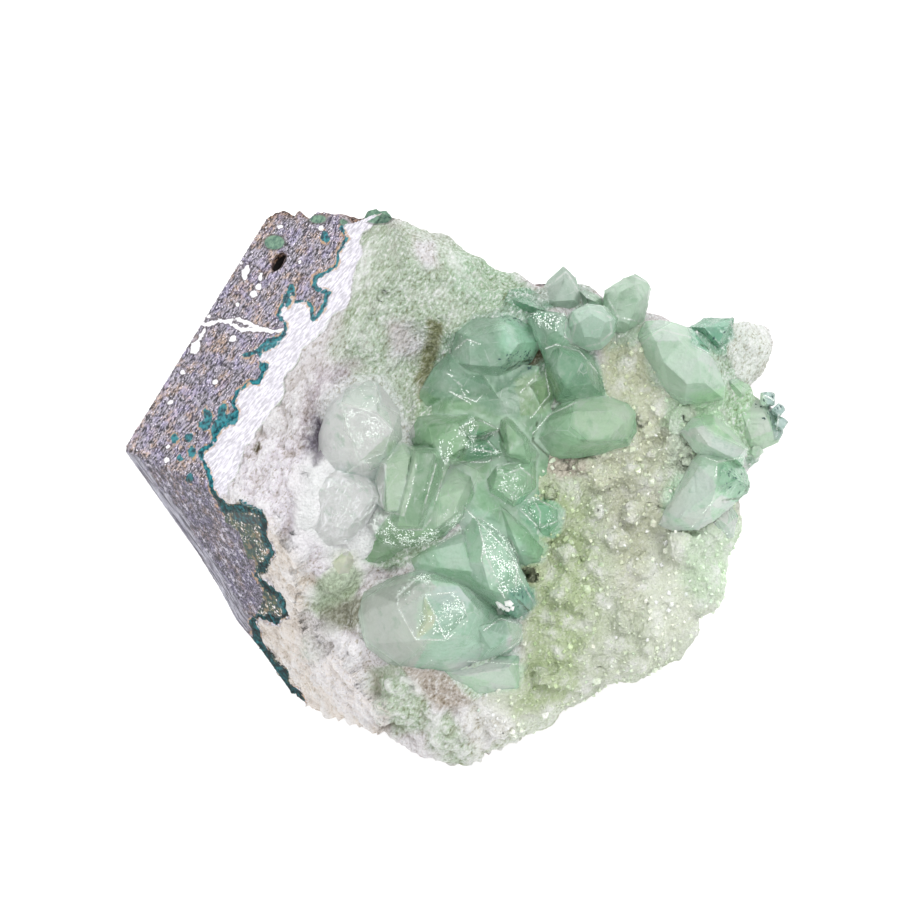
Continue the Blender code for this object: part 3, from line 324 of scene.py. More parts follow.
# Zones of the apophyllite: colour, softness of the edge in mm, frostiness, outline.
CRYSTAL_COLOUR = (150, 184, 158)
CRYSTAL_ZONES = {
    "upper left": ((132, 166, 143), 0.5, 0.6, (430, 345), (470, 315), (510, 308), (548, 325), (548, 355),
        (520, 385), (470, 395), (438, 385)),
    "glassy tip": ((166, 210, 184), 1.2, 0.15, (498, 318), (525, 318), (542, 335), (538, 358), (515, 362),
        (500, 345)),
    "foot": ((127, 162, 136), 0.6, 0.3, (432, 380), (470, 390), (505, 385), (520, 400), (485, 420),
        (440, 410)),
    "top dark": ((100, 146, 118), 0.4, 0.2, (503, 294), (530, 296), (555, 312), (530, 320), (505, 308)),
    "top peak": ((154, 173, 160), 0.5, 0.7, (530, 292), (565, 265), (582, 285), (588, 305), (560, 312),
        (535, 306)),
    "top blunt": ((158, 183, 162), 0.6, 0.7, (592, 296), (622, 272), (655, 280), (650, 308), (632, 348),
        (608, 352), (618, 320)),
    "top frosted": ((173, 199, 183), 0.4, 0.8, (562, 325), (575, 308), (600, 306), (614, 322), (610, 345),
        (590, 354), (568, 345)),
    "middle right": ((126, 166, 138), 0.6, 0.5, (548, 335), (590, 352), (600, 375), (603, 395),
        (565, 400), (525, 385)),
    "middle olive": ((128, 160, 118), 0.6, 0.3, (515, 380), (548, 368), (560, 390), (545, 415),
        (520, 400)),
    "right big": ((140, 176, 144), 0.6, 0.6, (530, 425), (560, 400), (600, 398), (635, 405), (632, 435),
        (600, 452), (558, 460), (535, 448)),
    "right big pale": ((184, 208, 182), 0.8, 0.7, (575, 400), (610, 395), (636, 410), (628, 438),
        (590, 440), (572, 425)),
    "centre": ((130, 169, 130), 0.8, 0.4, (420, 400), (470, 400), (500, 420), (500, 470), (440, 480),
        (420, 440)),
    "dark point": ((98, 152, 118), 0.5, 0.1, (470, 430), (500, 435), (498, 462), (465, 460)),
    "centre sparkling": ((150, 188, 154), 0.4, 0.7, (490, 455), (530, 460), (532, 490), (510, 500),
        (490, 488)),
    "glassy": ((130, 184, 150), 0.4, 0.0, (520, 498), (545, 496), (562, 512), (556, 532), (535, 535),
        (520, 515)),
    "green middle": ((146, 188, 152), 0.6, 0.4, (455, 480), (500, 490), (520, 520), (545, 545),
        (540, 565), (510, 550), (480, 510), (455, 500)),
    "prism": ((132, 164, 134), 0.6, 0.3, (410, 440), (450, 445), (440, 530), (390, 530), (375, 515)),
    "flank": ((169, 195, 169), 0.6, 0.7, (445, 455), (480, 470), (462, 520), (435, 530), (440, 480)),
    "foot of the prism": ((136, 170, 134), 0.6, 0.5, (355, 530), (375, 512), (440, 535), (430, 555),
        (390, 570), (362, 560)),
    "left mass": ((222, 228, 227), 0.6, 0.8, (296, 380), (395, 372), (412, 440), (412, 492), (385, 520),
        (365, 550), (330, 556), (296, 520)),
    "left facing": ((212, 220, 213), 0.5, 0.4, (345, 385), (400, 415), (412, 450), (372, 470),
        (345, 430)),
    "left top wedge": ((188, 194, 190), 0.2, 0.4, (342, 403), (346, 394), (372, 378), (380, 395),
        (380, 412), (360, 408)),
    "left etched facet": ((214, 226, 212), 0.15, 0.9, (342, 403), (360, 408), (376, 414), (393, 430),
        (384, 452), (360, 462), (348, 425)),
    "left silk": ((232, 233, 236), 0.8, 0.9, (305, 495), (345, 498), (383, 490), (383, 502), (372, 512),
        (355, 542), (325, 550)),
    "left tuft": ((206, 214, 188), 0.5, 0.9, (325, 548), (358, 545), (362, 575), (345, 590), (325, 590)),
    "pale flank of the prism": ((174, 196, 172), 0.3, 0.5, (388, 440), (415, 448), (417, 464), (410, 497),
        (404, 515), (384, 511), (386, 480)),
    "lower sparkling": ((164, 200, 176), 0.5, 0.5, (465, 505), (490, 512), (525, 545), (536, 595),
        (505, 600), (480, 570), (462, 540)),
    "lower back": ((171, 205, 180), 0.8, 0.5, (420, 555), (470, 520), (490, 560), (500, 590), (450, 580),
        (410, 580)),
    "lower facing": ((177, 182, 175), 1.0, 0.7, (360, 600), (400, 575), (430, 580), (430, 640),
        (400, 665), (365, 640)),
    "lower tip": ((181, 210, 194), 0.2, 0.3, (425, 594), (457, 591), (468, 619), (446, 639), (417, 638)),
    "lower grey facet": ((184, 190, 184), 0.15, 0.3, (399, 608), (425, 594), (417, 638)),
    "lower yellow facet": ((208, 224, 184), 0.3, 0.2, (425, 596), (436, 615), (433, 627), (417, 638)),
    "lower aqua": ((160, 192, 172), 1.0, 0.4, (430, 630), (490, 600), (520, 630), (515, 660), (470, 675),
        (425, 665)),
    "lower lens": ((154, 186, 166), 0.5, 0.2, (480, 632), (488, 620), (505, 618), (514, 632), (508, 650),
        (490, 654)),
    "lower bright end": ((196, 214, 200), 0.4, 0.1, (508, 618), (518, 622), (523, 636), (516, 650),
        (506, 645)),
    "lower pale": ((192, 220, 194), 0.8, 0.6, (445, 662), (500, 657), (525, 665), (515, 690), (470, 695),
        (450, 680)),
    "dome": ((182, 204, 186), 1.0, 0.8, (640, 340), (675, 322), (720, 340), (735, 380), (690, 400),
        (650, 385)),
    "rim glassy": ((120, 170, 146), 0.4, 0.1, (688, 325), (725, 318), (735, 340), (712, 356), (690, 345)),
    "arrow": ((203, 238, 208), 0.8, 0.5, (660, 450), (700, 420), (745, 440), (752, 470), (735, 500),
        (690, 530), (660, 510)),
    "arrow tip": ((130, 176, 146), 0.6, 0.1, (715, 465), (748, 455), (750, 485), (735, 502), (715, 490)),
    "upper pale": ((176, 214, 174), 0.8, 0.7, (690, 395), (740, 385), (765, 400), (755, 455), (705, 430)),
    "dark end of the lower sparkling crystal": ((116, 164, 146), 0.4, 0.2, (510, 588), (530, 584),
        (538, 602), (525, 617), (504, 614)),
    "rim plate": ((186, 209, 185), 0.6, 0.8, (748, 390), (790, 390), (790, 460), (750, 460)),
    "rim cubes": ((136, 158, 154), 0.3, 0.3, (760, 388), (778, 386), (794, 402), (792, 438), (774, 440),
        (768, 410)),
}

# Edges of facets that catch the light, drawn as painted highlights, and dark clefts between crystals, drawn
# as painted shade.
EDGE_HIGHLIGHTS = (
    ((342, 403), (348, 425), (360, 462), (384, 453), (393, 430), (376, 414), (360, 408), (342, 403)),
    ((345, 475), (362, 462), (372, 458)),
    ((340, 386), (374, 380), (379, 401), (368, 414)),
    ((390, 430), (402, 442), (385, 464), (362, 462)),
    ((317, 485), (334, 494), (349, 488), (374, 485)),
    ((383, 493), (374, 507), (365, 516), (356, 532)),
    ((330, 478), (341, 487), (352, 484)),
    ((352, 498), (346, 512), (338, 526)),
    ((448, 374), (469, 393)),
    ((452, 393), (471, 404)),
    ((478, 419), (499, 430), (482, 436), (499, 453), (471, 449)),
    ((566, 318), (564, 337), (579, 348), (597, 345), (611, 333), (609, 318), (594, 311)),
    ((543, 350), (556, 345), (579, 352), (601, 378)),
    ((532, 434), (549, 415), (579, 401)),
    ((478, 521), (512, 555), (519, 577), (534, 603)),
    ((463, 506), (478, 521), (486, 555), (504, 596)),
    ((484, 629), (500, 618), (515, 622), (523, 629), (519, 640), (500, 654)),
    ((455, 350), (467, 340), (480, 345)),
    ((640, 345), (660, 330), (690, 338)),
    ((735, 395), (748, 420), (742, 436)),
    ((417, 464), (410, 497), (404, 515), (384, 511)),
    ((436, 464), (425, 504)),
    ((447, 464), (435, 504)),
    ((401, 529), (423, 529), (431, 519)),
    ((436, 546), (462, 530)),
    ((399, 608), (416, 638), (446, 639), (468, 619), (461, 596), (457, 591), (425, 594)),
    ((425, 594), (436, 615), (446, 639)),
    ((396, 597), (422, 573)),
    ((484, 540), (481, 560), (505, 598)),
    ((511, 540), (518, 556), (515, 587)),
    ((466, 660), (521, 664)),
    ((447, 374), (456, 378), (466, 398)),
    ((450, 392), (476, 402), (482, 396)),
    ((537, 292), (552, 284), (566, 272), (578, 291)),
    ((604, 286), (630, 275), (650, 284), (643, 327)),
    ((608, 300), (618, 318), (640, 322)),
    ((570, 346), (590, 352), (601, 370), (610, 400)),
    ((520, 393), (544, 367), (549, 395), (530, 419)),
    ((565, 312), (575, 325), (570, 345)),
    ((499, 430), (487, 437), (470, 440)),
    ((500, 457), (486, 462), (457, 462)),
    ((494, 478), (521, 468), (533, 478)),
    ((520, 509), (532, 497), (558, 509), (559, 520), (539, 528), (520, 509)),
    ((532, 497), (540, 512), (539, 528)),
    ((664, 470), (690, 452), (716, 462), (748, 456)),
    ((716, 462), (712, 500), (690, 528)),
    ((690, 345), (712, 356), (735, 340), (730, 320)),
    ((712, 356), (708, 372)),
    ((752, 400), (765, 396), (780, 404), (776, 430)),
)
# Painted shade lines in the clefts.
CLEFT_SHADE_LINES = (
    ((532, 442), (537, 422)),
    ((533, 442), (552, 460), (575, 460)),
    ((498, 430), (503, 442)),
    ((419, 667), (430, 671)),
    ((518, 600), (530, 612), (520, 618)),
    ((505, 372), (520, 362), (540, 360)),
    ((430, 350), (440, 345)),
    ((700, 345), (712, 352), (722, 344)),
    ((722, 500), (740, 498), (749, 484)),
)

# Facets that glitter with etch figures: share covered, outline.
GLITTER = (
    (0.75, (530, 314), (564, 315), (557, 331), (542, 331)),
    (0.75, (455, 430), (474, 417), (476, 436), (470, 448), (460, 440)),
    (0.7, (437, 441), (454, 440), (450, 455), (446, 465), (440, 455)),
    (0.5, (462, 442), (480, 446), (500, 452), (485, 456), (468, 452)),
    (0.8, (374, 512), (385, 513), (400, 530), (420, 530), (440, 526), (436, 540), (410, 548), (385, 542),
        (373, 528)),
    (0.45, (442, 515), (455, 505), (463, 512), (460, 525), (448, 530)),
    (0.7, (482, 519), (496, 528), (514, 548), (517, 566), (520, 590), (505, 592), (492, 570), (484, 545)),
    (0.55, (398, 590), (418, 575), (432, 570), (430, 580), (405, 600), (398, 606)),
    (0.6, (436, 612), (452, 592), (462, 600), (466, 618), (448, 636)),
    (0.3, (420, 600), (428, 612), (440, 622), (446, 636), (418, 634)),
    (0.4, (495, 462), (520, 465), (528, 480), (515, 500), (500, 490)),
    (0.6, (344, 408), (360, 410), (376, 416), (388, 428), (362, 458), (350, 430)),
    (0.12, (350, 388), (374, 384), (377, 400), (366, 410)),
    (0.05, (455, 328), (482, 330), (480, 352), (458, 350)),
    (0.1, (318, 480), (380, 482), (380, 496), (350, 520), (330, 512)),
    (0.25, (520, 500), (534, 500), (554, 512), (550, 526), (536, 530), (524, 514)),
)

# Dark specks within the crystals: how many, outline.
INCLUSIONS = (
    (60, (492, 362), (515, 352), (545, 350), (530, 372), (500, 372)),
    (24, (500, 316), (525, 318), (520, 326), (504, 324)),
    (30, (715, 470), (748, 460), (748, 488), (735, 500), (715, 488)),
    (14, (700, 335), (726, 330), (724, 350), (706, 352)),
    (14, (520, 585), (534, 592), (526, 612), (505, 606)),
    (24, (745, 395), (786, 396), (782, 420), (750, 420)),
)
# How much brighter the crystals' matter is than their look, and the most that it can be.
CRYSTAL_LOSS = 1.21
BRIGHTEST = 252
# Clefts, painted paler as painted light, are what lies this deep under the mesh once it is smoothed this
# many times.
CLEFT_PAINTED_LIGHT = (196, 220, 202)
CLEFT_ROUNDS = 24
CLEFT_DEPTH = 0.3
# How much the painted light and shade of one facet may differ from another's, 0 to 255.
FACET_CONTRAST = 30
# The height of growth steps, the depth of chips, and how far rounding cuts a ridge back.
STEP_HEIGHT = 0.16
CHIP_DEPTH = 0.9
RIDGE_DEPTH = 0.1
# How much of a softened edge's rounding the crystals keep, and the least angle that shows as a crease.
EDGE_ROUNDING = 0.4
CREASE_DEGREES = 27
# How finely the crystals are cut, as the remesher counts it, and the length from which a cluster is large.
COARSE_DEPTH = 6
FINE_DEPTH = 8
LARGE_CLUSTER = 30
# The crystals' undersides reach this much deeper into the crust.
TUCKED_UNDER = 0.6

# Small things: the gap between druse grains, glints along an edge, and threads of silk on the crystals.
GRAIN_GAP = 1.15
GLINT_STEP = 0.12
THREAD_SHARE = 0.16
THREAD_WAY = (-0.5, -0.86, 0.1)
SILK_THREADS = on_photo(
    (312, 474), (334, 464), (356, 468), (384, 484), (386, 500), (372, 516), (358, 548), (330, 552),
    (312, 520),
)
# White lumps on the crystals: x and y in pixels, width in mm.
WHITE_LUMPS = ((500, 603, 1.3), (504, 606, 1.0), (509, 602, 1.3), (507, 608, 0.9), (512, 607, 0.8))
# The form of a grain, a blunt block under a point, and of a flake: corners and faces.
SQUARE = ((-1, -1), (1, -1), (1, 1), (-1, 1))
GRAIN_FORM = (
    np.array([(x * reach, y * reach, z) for z, reach in ((-0.5, 0.45), (0.35, 0.5)) for x, y in SQUARE]
             + [(0.05, 0.0, 0.8)]),
    ((3, 2, 1, 0), (0, 1, 5, 4), (1, 2, 6, 5), (2, 3, 7, 6), (3, 0, 4, 7), (4, 5, 8), (5, 6, 8), (6, 7, 8),
     (7, 4, 8)),
)
FLAKE_FORM = (
    np.array([(-0.5, -0.3, 0), (0.1, -0.5, 0), (0.5, 0.1, 0), (-0.1, 0.5, 0), (0, 0, 0.5)]),
    ((3, 2, 1, 0), (0, 1, 4), (1, 2, 4), (2, 3, 4), (3, 0, 4)),
)


def smooth_step(share):
    """A share from 0 to 1, eased at both ends."""
    share = np.clip(share, 0, 1)
    return share * share * (3 - 2 * share)


def lattice(cells, seed):
    """A repeatable number from 0 to 1 for each whole-numbered cell."""
    mixed = cells[..., 0] * 73856093 ^ cells[..., 1] * 19349663 ^ cells[..., 2] * 83492791
    mixed = (mixed ^ (seed * 668265263)) & 0x7FFFFFFF
    mixed = ((mixed ^ (mixed >> 13)) * 1274126177) & 0x7FFFFFFF
    mixed = ((mixed ^ (mixed >> 11)) * 974634777) & 0x7FFFFFFF
    return (mixed ^ (mixed >> 15)) / 0x7FFFFFFF


def noise(points, size, seed):
    """Smooth noise from -1 to 1 whose lumps are about size apart."""
    spots = points / size
    base = np.floor(spots).astype(np.int64)
    ease = smooth_step(spots - base)
    total = np.zeros(len(points))
    for corner in itertools.product((0, 1), repeat=3):
        weight = np.prod(np.where(corner, ease, 1 - ease), axis=1)
        total += weight * lattice(base + np.array(corner), seed)
    return 2 * total - 1


def fractal(points, size, seed, octaves=3):
    """Noise with finer and weaker noise on top."""
    layers = (noise(points, size / 2**k, seed + k) / 2**k for k in range(octaves))
    return sum(layers)


def cells(points, size, seed):
    """Distance, in cells, to the nearest of points scattered one a cell."""
    spots = points / size
    base = np.floor(spots).astype(np.int64)
    nearest = np.full(len(points), float(FAR))
    for step in itertools.product((-1, 0, 1), repeat=3):
        cell = base + np.array(step)
        middle = cell + np.stack([lattice(cell, seed + k) for k in range(3)], axis=1)
        gap = np.linalg.norm(spots - middle, axis=1)
        nearest = np.minimum(nearest, gap)
    return nearest


def edge_distance(places, outline, closed=True):
    """Plan distance from each place to the nearest point of an outline or an open line."""
    ends = np.roll(outline, -1, axis=0) if closed else outline[1:]
    nearest = np.full(len(places), np.inf)
    for start, end in zip(outline, ends):
        way = end - start
        share = np.clip((places - start) @ way / (way @ way), 0, 1)
        nearest = np.minimum(nearest, np.linalg.norm(places - start - share[:, None] * way, axis=1))
    return nearest


def inside(places, outline):
    """Whether each place lies within a closed outline."""
    x, y = places.T
    odd = np.zeros(len(places), bool)
    for (x0, y0), (x1, y1) in zip(outline, np.roll(outline, -1, axis=0)):
        if y0 != y1:
            odd ^= ((y0 > y) != (y1 > y)) & (x < x0 + (y - y0) * (x1 - x0) / (y1 - y0))
    return odd


def zone(places, outline, edge):
    """1 within an outline and 0 outside it, easing over its edge."""
    depth = edge_distance(places, outline) * np.where(inside(places, outline), 1, -1)
    return smooth_step(0.5 + depth / (2 * edge))


def spot_distance(places, spots):
    """Signed distance to the nearest of some elliptical spots, negative within one."""
    nearest = np.full(len(places), np.inf)
    for x, y, half_length, half_width, turn in spots:
        offset = places - on_photo((x, y))[0]
        cosine = math.cos(math.radians(turn))
        sine = math.sin(math.radians(turn))
        along = (offset[:, 0] * cosine + offset[:, 1] * sine) * PIXELS_A_MM / half_length
        across = (offset[:, 1] * cosine - offset[:, 0] * sine) * PIXELS_A_MM / half_width
        gap = (np.hypot(along, across) - 1) * min(half_length, half_width) / PIXELS_A_MM
        nearest = np.minimum(nearest, gap)
    return nearest


def vertex_vectors(mesh, kind):
    """One vector for each vertex."""
    flat = np.empty(len(mesh.vertices) * 3)
    mesh.vertices.foreach_get(kind, flat)
    return flat.reshape(-1, 3)


def positions(mesh):
    """The vertices' positions in mm."""
    return vertex_vectors(mesh, "co") / MM


def normals(mesh):
    """The vertices' normals."""
    return vertex_vectors(mesh, "normal")


def edge_ends(mesh):
    """The first and the second vertex of each edge."""
    ends = np.empty(len(mesh.edges) * 2, np.int32)
    mesh.edges.foreach_get("vertices", ends)
    return ends.reshape(-1, 2).T


def set_positions(mesh, points):
    """Moves the vertices to positions in mm."""
    mesh.vertices.foreach_set("co", (points * MM).ravel())
    mesh.update()


def set_values(mesh, name, values):
    """Keeps a number for each vertex as an attribute."""
    layer = mesh.attributes.new(name, "FLOAT", "POINT")
    layer.data.foreach_set("value", np.asarray(values, np.float32))


def set_tint(mesh, colours):
    """Keeps a display colour for each vertex as an attribute."""
    layer = mesh.color_attributes.new("tint", "FLOAT_COLOR", "POINT")
    shares = np.concatenate([linear(colours), np.ones((len(colours), 1))], axis=1)
    layer.data.foreach_set("color", shares.astype(np.float32).ravel())


def link(name, mesh):
    """A new object of a mesh, in the scene."""
    obj = bpy.data.objects.new(name, mesh)
    bpy.context.scene.collection.objects.link(obj)
    return obj


def welded(node):
    """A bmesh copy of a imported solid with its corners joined."""
    bm = bmesh.new()
    bm.from_mesh(frame["nodes"][node].data)
    bmesh.ops.remove_doubles(bm, verts=bm.verts, dist=0.001 * MM)
    bm.normal_update()
    return bm


def tree_of(node):
    """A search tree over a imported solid, in metres."""
    bm = welded(node)
    tree = BVHTree.FromBMesh(bm)
    bm.free()
    return tree


def distances(points, tree, reach):
    """Distance from each position to a solid's surface, or reach where it is further off."""
    found = (tree.find_nearest(Vector(point), reach * MM)[3] for point in points * MM)
    return np.array([reach if gap is None else gap / MM for gap in found])


def modified(obj, kind, **settings):
    """Replaces an object's mesh with what a modifier makes of it."""
    modifier = obj.modifiers.new(kind, kind)
    for key, value in settings.items():
        setattr(modifier, key, value)
    graph = bpy.context.evaluated_depsgraph_get()
    mesh = bpy.data.meshes.new_from_object(obj.evaluated_get(graph))
    obj.modifiers.clear()
    obj.data = mesh


def solid_union():
    """The three rock solids as one skin, with the hairline gaps between them closed."""
    whole = bmesh.new()
    for node in ROCK_NODES:
        bm = welded(node)
        for vertex in bm.verts:
            vertex.co += vertex.normal * (SEAM_CLOSING * MM)
        part = bpy.data.meshes.new("part")
        bm.to_mesh(part)
        bm.free()
        whole.from_mesh(part)
    mesh = bpy.data.meshes.new("rock")
    whole.to_mesh(mesh)
    whole.free()
    obj = link("rock", mesh)
    modified(obj, "REMESH", mode="VOXEL", voxel_size=ROCK_VOXEL * MM)
    keep_largest(obj)
    points = positions(obj.data) - normals(obj.data) * SEAM_CLOSING
    set_positions(obj.data, points)
    return obj


def keep_largest(obj):
    """Drops every loose part of an object but the largest."""
    bpy.ops.object.select_all(action="DESELECT")
    obj.select_set(True)
    bpy.context.view_layer.objects.active = obj
    before = set(bpy.data.objects)
    bpy.ops.mesh.separate(type="LOOSE")
    parts = [obj] + [other for other in bpy.data.objects if other not in before]
    largest = max(parts, key=lambda part: len(part.data.vertices))
    obj.data = largest.data
    for part in parts:
        if part is not obj:
            bpy.data.objects.remove(part)


def over_face(points, facing, face):
    """The height of the skin over a sawn face's plane, and where it lies along that face."""
    normal, offset = face
    height = points @ normal - offset
    return height, (height > -SAWN_DEPTH) & (facing @ normal > 0.3)


def flattened(packed, facing):
    """The skin with its two sawn faces drawn flat, where they are, and how far off the gas hole is."""
    over_upper, on_upper = over_face(packed, facing, SAWN_UPPER)
    over_lower, on_lower = over_face(packed, facing, SAWN_LOWER)
    hole = spot_distance(packed[:, :2], HOLES)
    on_upper &= (hole > 0) & (over_upper >= over_lower)
    on_lower &= (hole > 0) & (over_upper < over_lower)
    on_lower &= (over_lower > -0.6) | (facing @ SAWN_LOWER[0] > 0.7)
    points = packed.copy()
    points[on_upper] -= (over_upper[on_upper, None] - SAWN_SHIFT) * SAWN_UPPER[0]
    points[on_lower] -= (over_lower[on_lower, None] - SAWN_SHIFT) * SAWN_LOWER[0]
    return points, on_upper, on_lower, hole


def cut_marks(points, warped, on_upper, on_lower):
    """What shows on the cuts, and by what half width and to which side of it the seam is."""
    places = points[:, :2]
    seam_line = np.concatenate([SEAM_UPPER, SEAM_LOWER])
    left = inside(places, np.concatenate([SEAM_TOP_END, seam_line, SEAM_LOW_END, FAR_LEFT]))
    across = edge_distance(places, seam_line, closed=False) * np.where(left, -1, 1)
    half_width = np.where(on_lower, SEAM_HALF_WIDTH_LOWER, SEAM_HALF_WIDTH)
    half_width = half_width * (1 + 0.75 * noise(points, 2.1, 21))
    veins = min_of(edge_distance(places, vein, closed=False) for vein in PALE_VEINS)
    veins -= VEIN_HALF_WIDTH * (1 + 0.7 * noise(points, 1.6, 22))
    marks = {
        "slope": np.where(on_upper, zone(warped, SATIN_EDGE, 0.6), 1),
        "lower": on_lower,
        "across": across,
        "teal": np.minimum(np.abs(across) - half_width, spot_distance(places, TEAL_SPOTS)),
        "pale": np.minimum(veins, spot_distance(places, PALE_SPOTS)),
        "green": spot_distance(places, GREEN_SPOTS),
        "mottled": on_lower * np.maximum.reduce([zone(places, patch, 0.3) for patch in MOTTLED_PATCHES]),
        "rim": np.where(on_lower, edge_distance(places, LOWER_RIM, closed=False), FAR),
    }
    return marks, half_width, left


def dress_rock():
    """The rock's skin with its relief, and on it what the materials need to know."""
    obj = solid_union()
    mesh = obj.data
    packed = positions(mesh)
    facing = normals(mesh)
    points, on_upper, on_lower, hole = flattened(packed, facing)
    base = (points[:, 2] < 0.3) & (facing[:, 2] < -0.7)
    points[:, :2] += belly(points[:, :2])
    places = points[:, :2]
    warped = places + wander(points, 2.6, (31, 32))
    marks, half_width, left = cut_marks(points, warped, on_upper, on_lower)
    below = facing[:, 2] < 0.1
    for name in ("pale", "green"):
        marks[name][below] = FAR

    grown = on_upper & (marks["slope"] < 0.5)
    sawn = on_upper & ~grown
    kind = kinds(packed)
    skirted = (facing[:, 2] > -0.3) & (points[:, 2] > SKIRT_HEIGHT) | (facing[:, 2] > 0.05)
    kind[skirted & ~zone_mask(places, BARE_RIM)] = CRUST
    kind[grown] = CRUST
    cut = sawn | on_lower
    on_seam = np.abs(marks["across"]) < half_width
    kind[cut] = np.where(on_seam, SEAM, np.where(left, BASALT, CRUST))[cut]
    kind = one_body_each(mesh, kind)
    sawn |= on_lower & (marks["across"] < half_width + 0.3)

    sugary = zone(warped, SUGARY_OUTLINE, SUGARY_EDGE)
    knobby = zone(warped, KNOBBY_OUTLINE, KNOBBY_EDGE)
    silky = zone(warped, SILK_OUTLINE, SILK_EDGE) * (facing[:, 2] > 0)
    lumps = relief(points, kind, sugary, knobby, silky)
    lumps[sawn] = sawn_relief(points[sawn], kind[sawn])
    lumps[base] = 0
    beside, among = near_crystals(points, kind)
    lumps *= 1 - 0.65 * among
    raised = lumps + (0.8 * beside + 0.9 * among) * (1 - sawn)
    broken = (kind != CRUST) & ~sawn & ~on_lower
    raised += NODULE_HEIGHT * smooth_step(-marks["green"] / 0.9) * broken
    side = smooth_step((0.5 - facing[:, 2]) / 0.3)
    raised += SIDE_SHIFT * side * (kind == CRUST) * (facing[:, 1] < 0.3) * ~base
    points = points + facing * raised[:, None]
    points[:, 1] += rim_lumps(places, facing) * ~sawn * ~on_lower
    for outline in FILLED_HOLLOWS:
        fill(points, places, outline, kind == CRUST, facing[:, 2] > 0.3)
    points[:, 2] = np.maximum(points[:, 2], 0)
    set_positions(mesh, points)

    marks |= {
        "shaded": tint_rock(mesh, places, warped, among, kind == CRUST),
        "height": np.clip(lumps / 0.8, -1, 1),
        "hole": np.where(below, FAR, hole),
        "sawn": sawn, "sugary": sugary, "silky": silky,
    }
    for name, values in marks.items():
        set_values(mesh, name, values)
    return obj, kind


def rim_lumps(places, facing):
    """How far the rim stands out toward the top of the photograph."""
    total = np.zeros(len(places))
    for x, y, reach, height in RIM_LUMPS:
        gap = np.linalg.norm(places - on_photo((x, y))[0], axis=1)
        total += height * smooth_step(1 - gap / reach)
    return total * smooth_step(facing[:, 1] / 0.5)


def tint_rock(mesh, places, warped, among, crust):
    """Colours the rock's skin, with painted shade in some hollows, and says how far each place keeps a
    hollow's or a stain's own colour.
    """
    colours = crust_tint(warped)
    crystal_colours, _, known = crystal_tint(places)
    cover(colours, 0.75 * among * known, crystal_colours + 8)
    shaded = np.zeros(len(places))
    for colour, edge, *outline in PAINTED_SHADE_AND_STAINS:
        share = zone(places + 0.5 * (warped - places), on_photo(*outline), edge) * crust
        cover(colours, share, colour)
        shaded = np.maximum(shaded, share)
    set_tint(mesh, colours)
    return shaded


def wander(points, size, seeds):
    """A smooth shift of each point, one way for each seed, that makes straight edges wander."""
    return WANDERING * np.stack([noise(points, size, seed) for seed in seeds], axis=1)


def fill(points, places, outline, crust, upward):
    """Raises a hollow, walls and all, to the plane through the ground round it, and lowers spikes in it."""
    share = zone(places, outline, 1.0) * crust * (points[:, 2] > FILL_ABOVE)
    gap = edge_distance(places, outline)
    ground = crust & upward & ~inside(places, outline) & (gap > 0.5) & (gap < 3.0)
    flat = np.column_stack([places, np.ones(len(places))])
    plane = np.linalg.lstsq(flat[ground], points[ground, 2], rcond=None)[0]
    lift = flat @ plane - points[:, 2]
    lift = np.maximum(lift, 0) + np.minimum(lift + BUMP_LEFT, 0)
    points[:, 2] += FILL_SHARE * share * lift


def belly(places):
    """How far the foot of the lower cut stands out at each place, in plan."""
    start, end = BELLY_ENDS
    way = (end - start) / np.linalg.norm(end - start)
    out = np.array((way[1], -way[0]))
    along = (places - start) @ way / np.linalg.norm(end - start)
    depth = (places - start) @ -out
    amount = np.interp(along, BELLY_PLACES, BELLY_DEPTHS) * smooth_step(1 - depth / BELLY_REACH)
    return amount[:, None] * out


def zone_mask(places, outline):
    """Whether each place lies within an outline of the photograph."""
    return inside(places, on_photo(*outline))


def min_of(layers):
    """The least of several arrays, place by place."""
    return np.minimum.reduce(list(layers))


def one_body_each(mesh, kind):
    """The kinds with each in one stretch: smaller patches go over to what lies round them."""
    first, second = edge_ends(mesh)
    same = kind[first] == kind[second]
    label = np.arange(len(kind))
    while True:
        before = label.copy()
        least = np.minimum(label[first[same]], label[second[same]])
        np.minimum.at(label, first[same], least)
        np.minimum.at(label, second[same], least)
        label = label[label]
        if np.array_equal(before, label):
            break
    kept_kind = np.full(len(kind), -1)
    for one in (BASALT, SEAM, CRUST):
        largest = np.bincount(label[kind == one]).argmax()
        kept_kind[(label == largest) & (kind == one)] = one
    while (kept_kind < 0).any():
        spread_to = kept_kind.copy()
        np.maximum.at(spread_to, first, kept_kind[second])
        np.maximum.at(spread_to, second, kept_kind[first])
        kept_kind = np.where(kept_kind < 0, spread_to, kept_kind)
    return kept_kind


def kinds(points):
    """Which rock each vertex belongs to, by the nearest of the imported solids."""
    gaps = [distances(points, tree_of(node), 4.0) for node in ROCK_NODES]
    return np.argmin(np.stack(gaps), axis=0)


def relief(points, kind, sugary, knobby, silky):
    """How far the skin is raised at each vertex off the sawn faces."""
    rough = 0.5 * fractal(points, 3.2, 41, 4) + 0.25 * (1 - 2 * cells(points, 2.2, 45))
    velvet = 0.4 * fractal(points, 5.0, 51, 2)
    velvet += mounds(points, 1.5, 55, 0.4, 0.6)
    velvet += mounds(points, 0.9, 59, 0.3, 0.6)
    warped = points + wander(points, 2.5, (61, 62, 63))
    folded = warped @ FOLD_AXES.T
    knobs = mounds(folded, 3.4, 64, 1.6) + mounds(folded, 1.4, 67, 1.0) + mounds(points, 0.9, 69, 0.5)
    sugar = mounds(warped, 3.8, 71, 1.2) + mounds(warped, 1.5, 75, 0.35) + mounds(points, 0.85, 79, 0.22)
    crust = velvet * (1 - sugary) * (1 - knobby) + knobs * knobby * (1 - sugary) + sugar * sugary
    fibres = 1.7 + 0.4 * fractal(points @ SILK_AXES.T, 0.9, 72, 2)
    crust += silky * (fibres - crust)
    return np.where(kind == BASALT, rough, np.where(kind == SEAM, 0.6 * rough, crust))


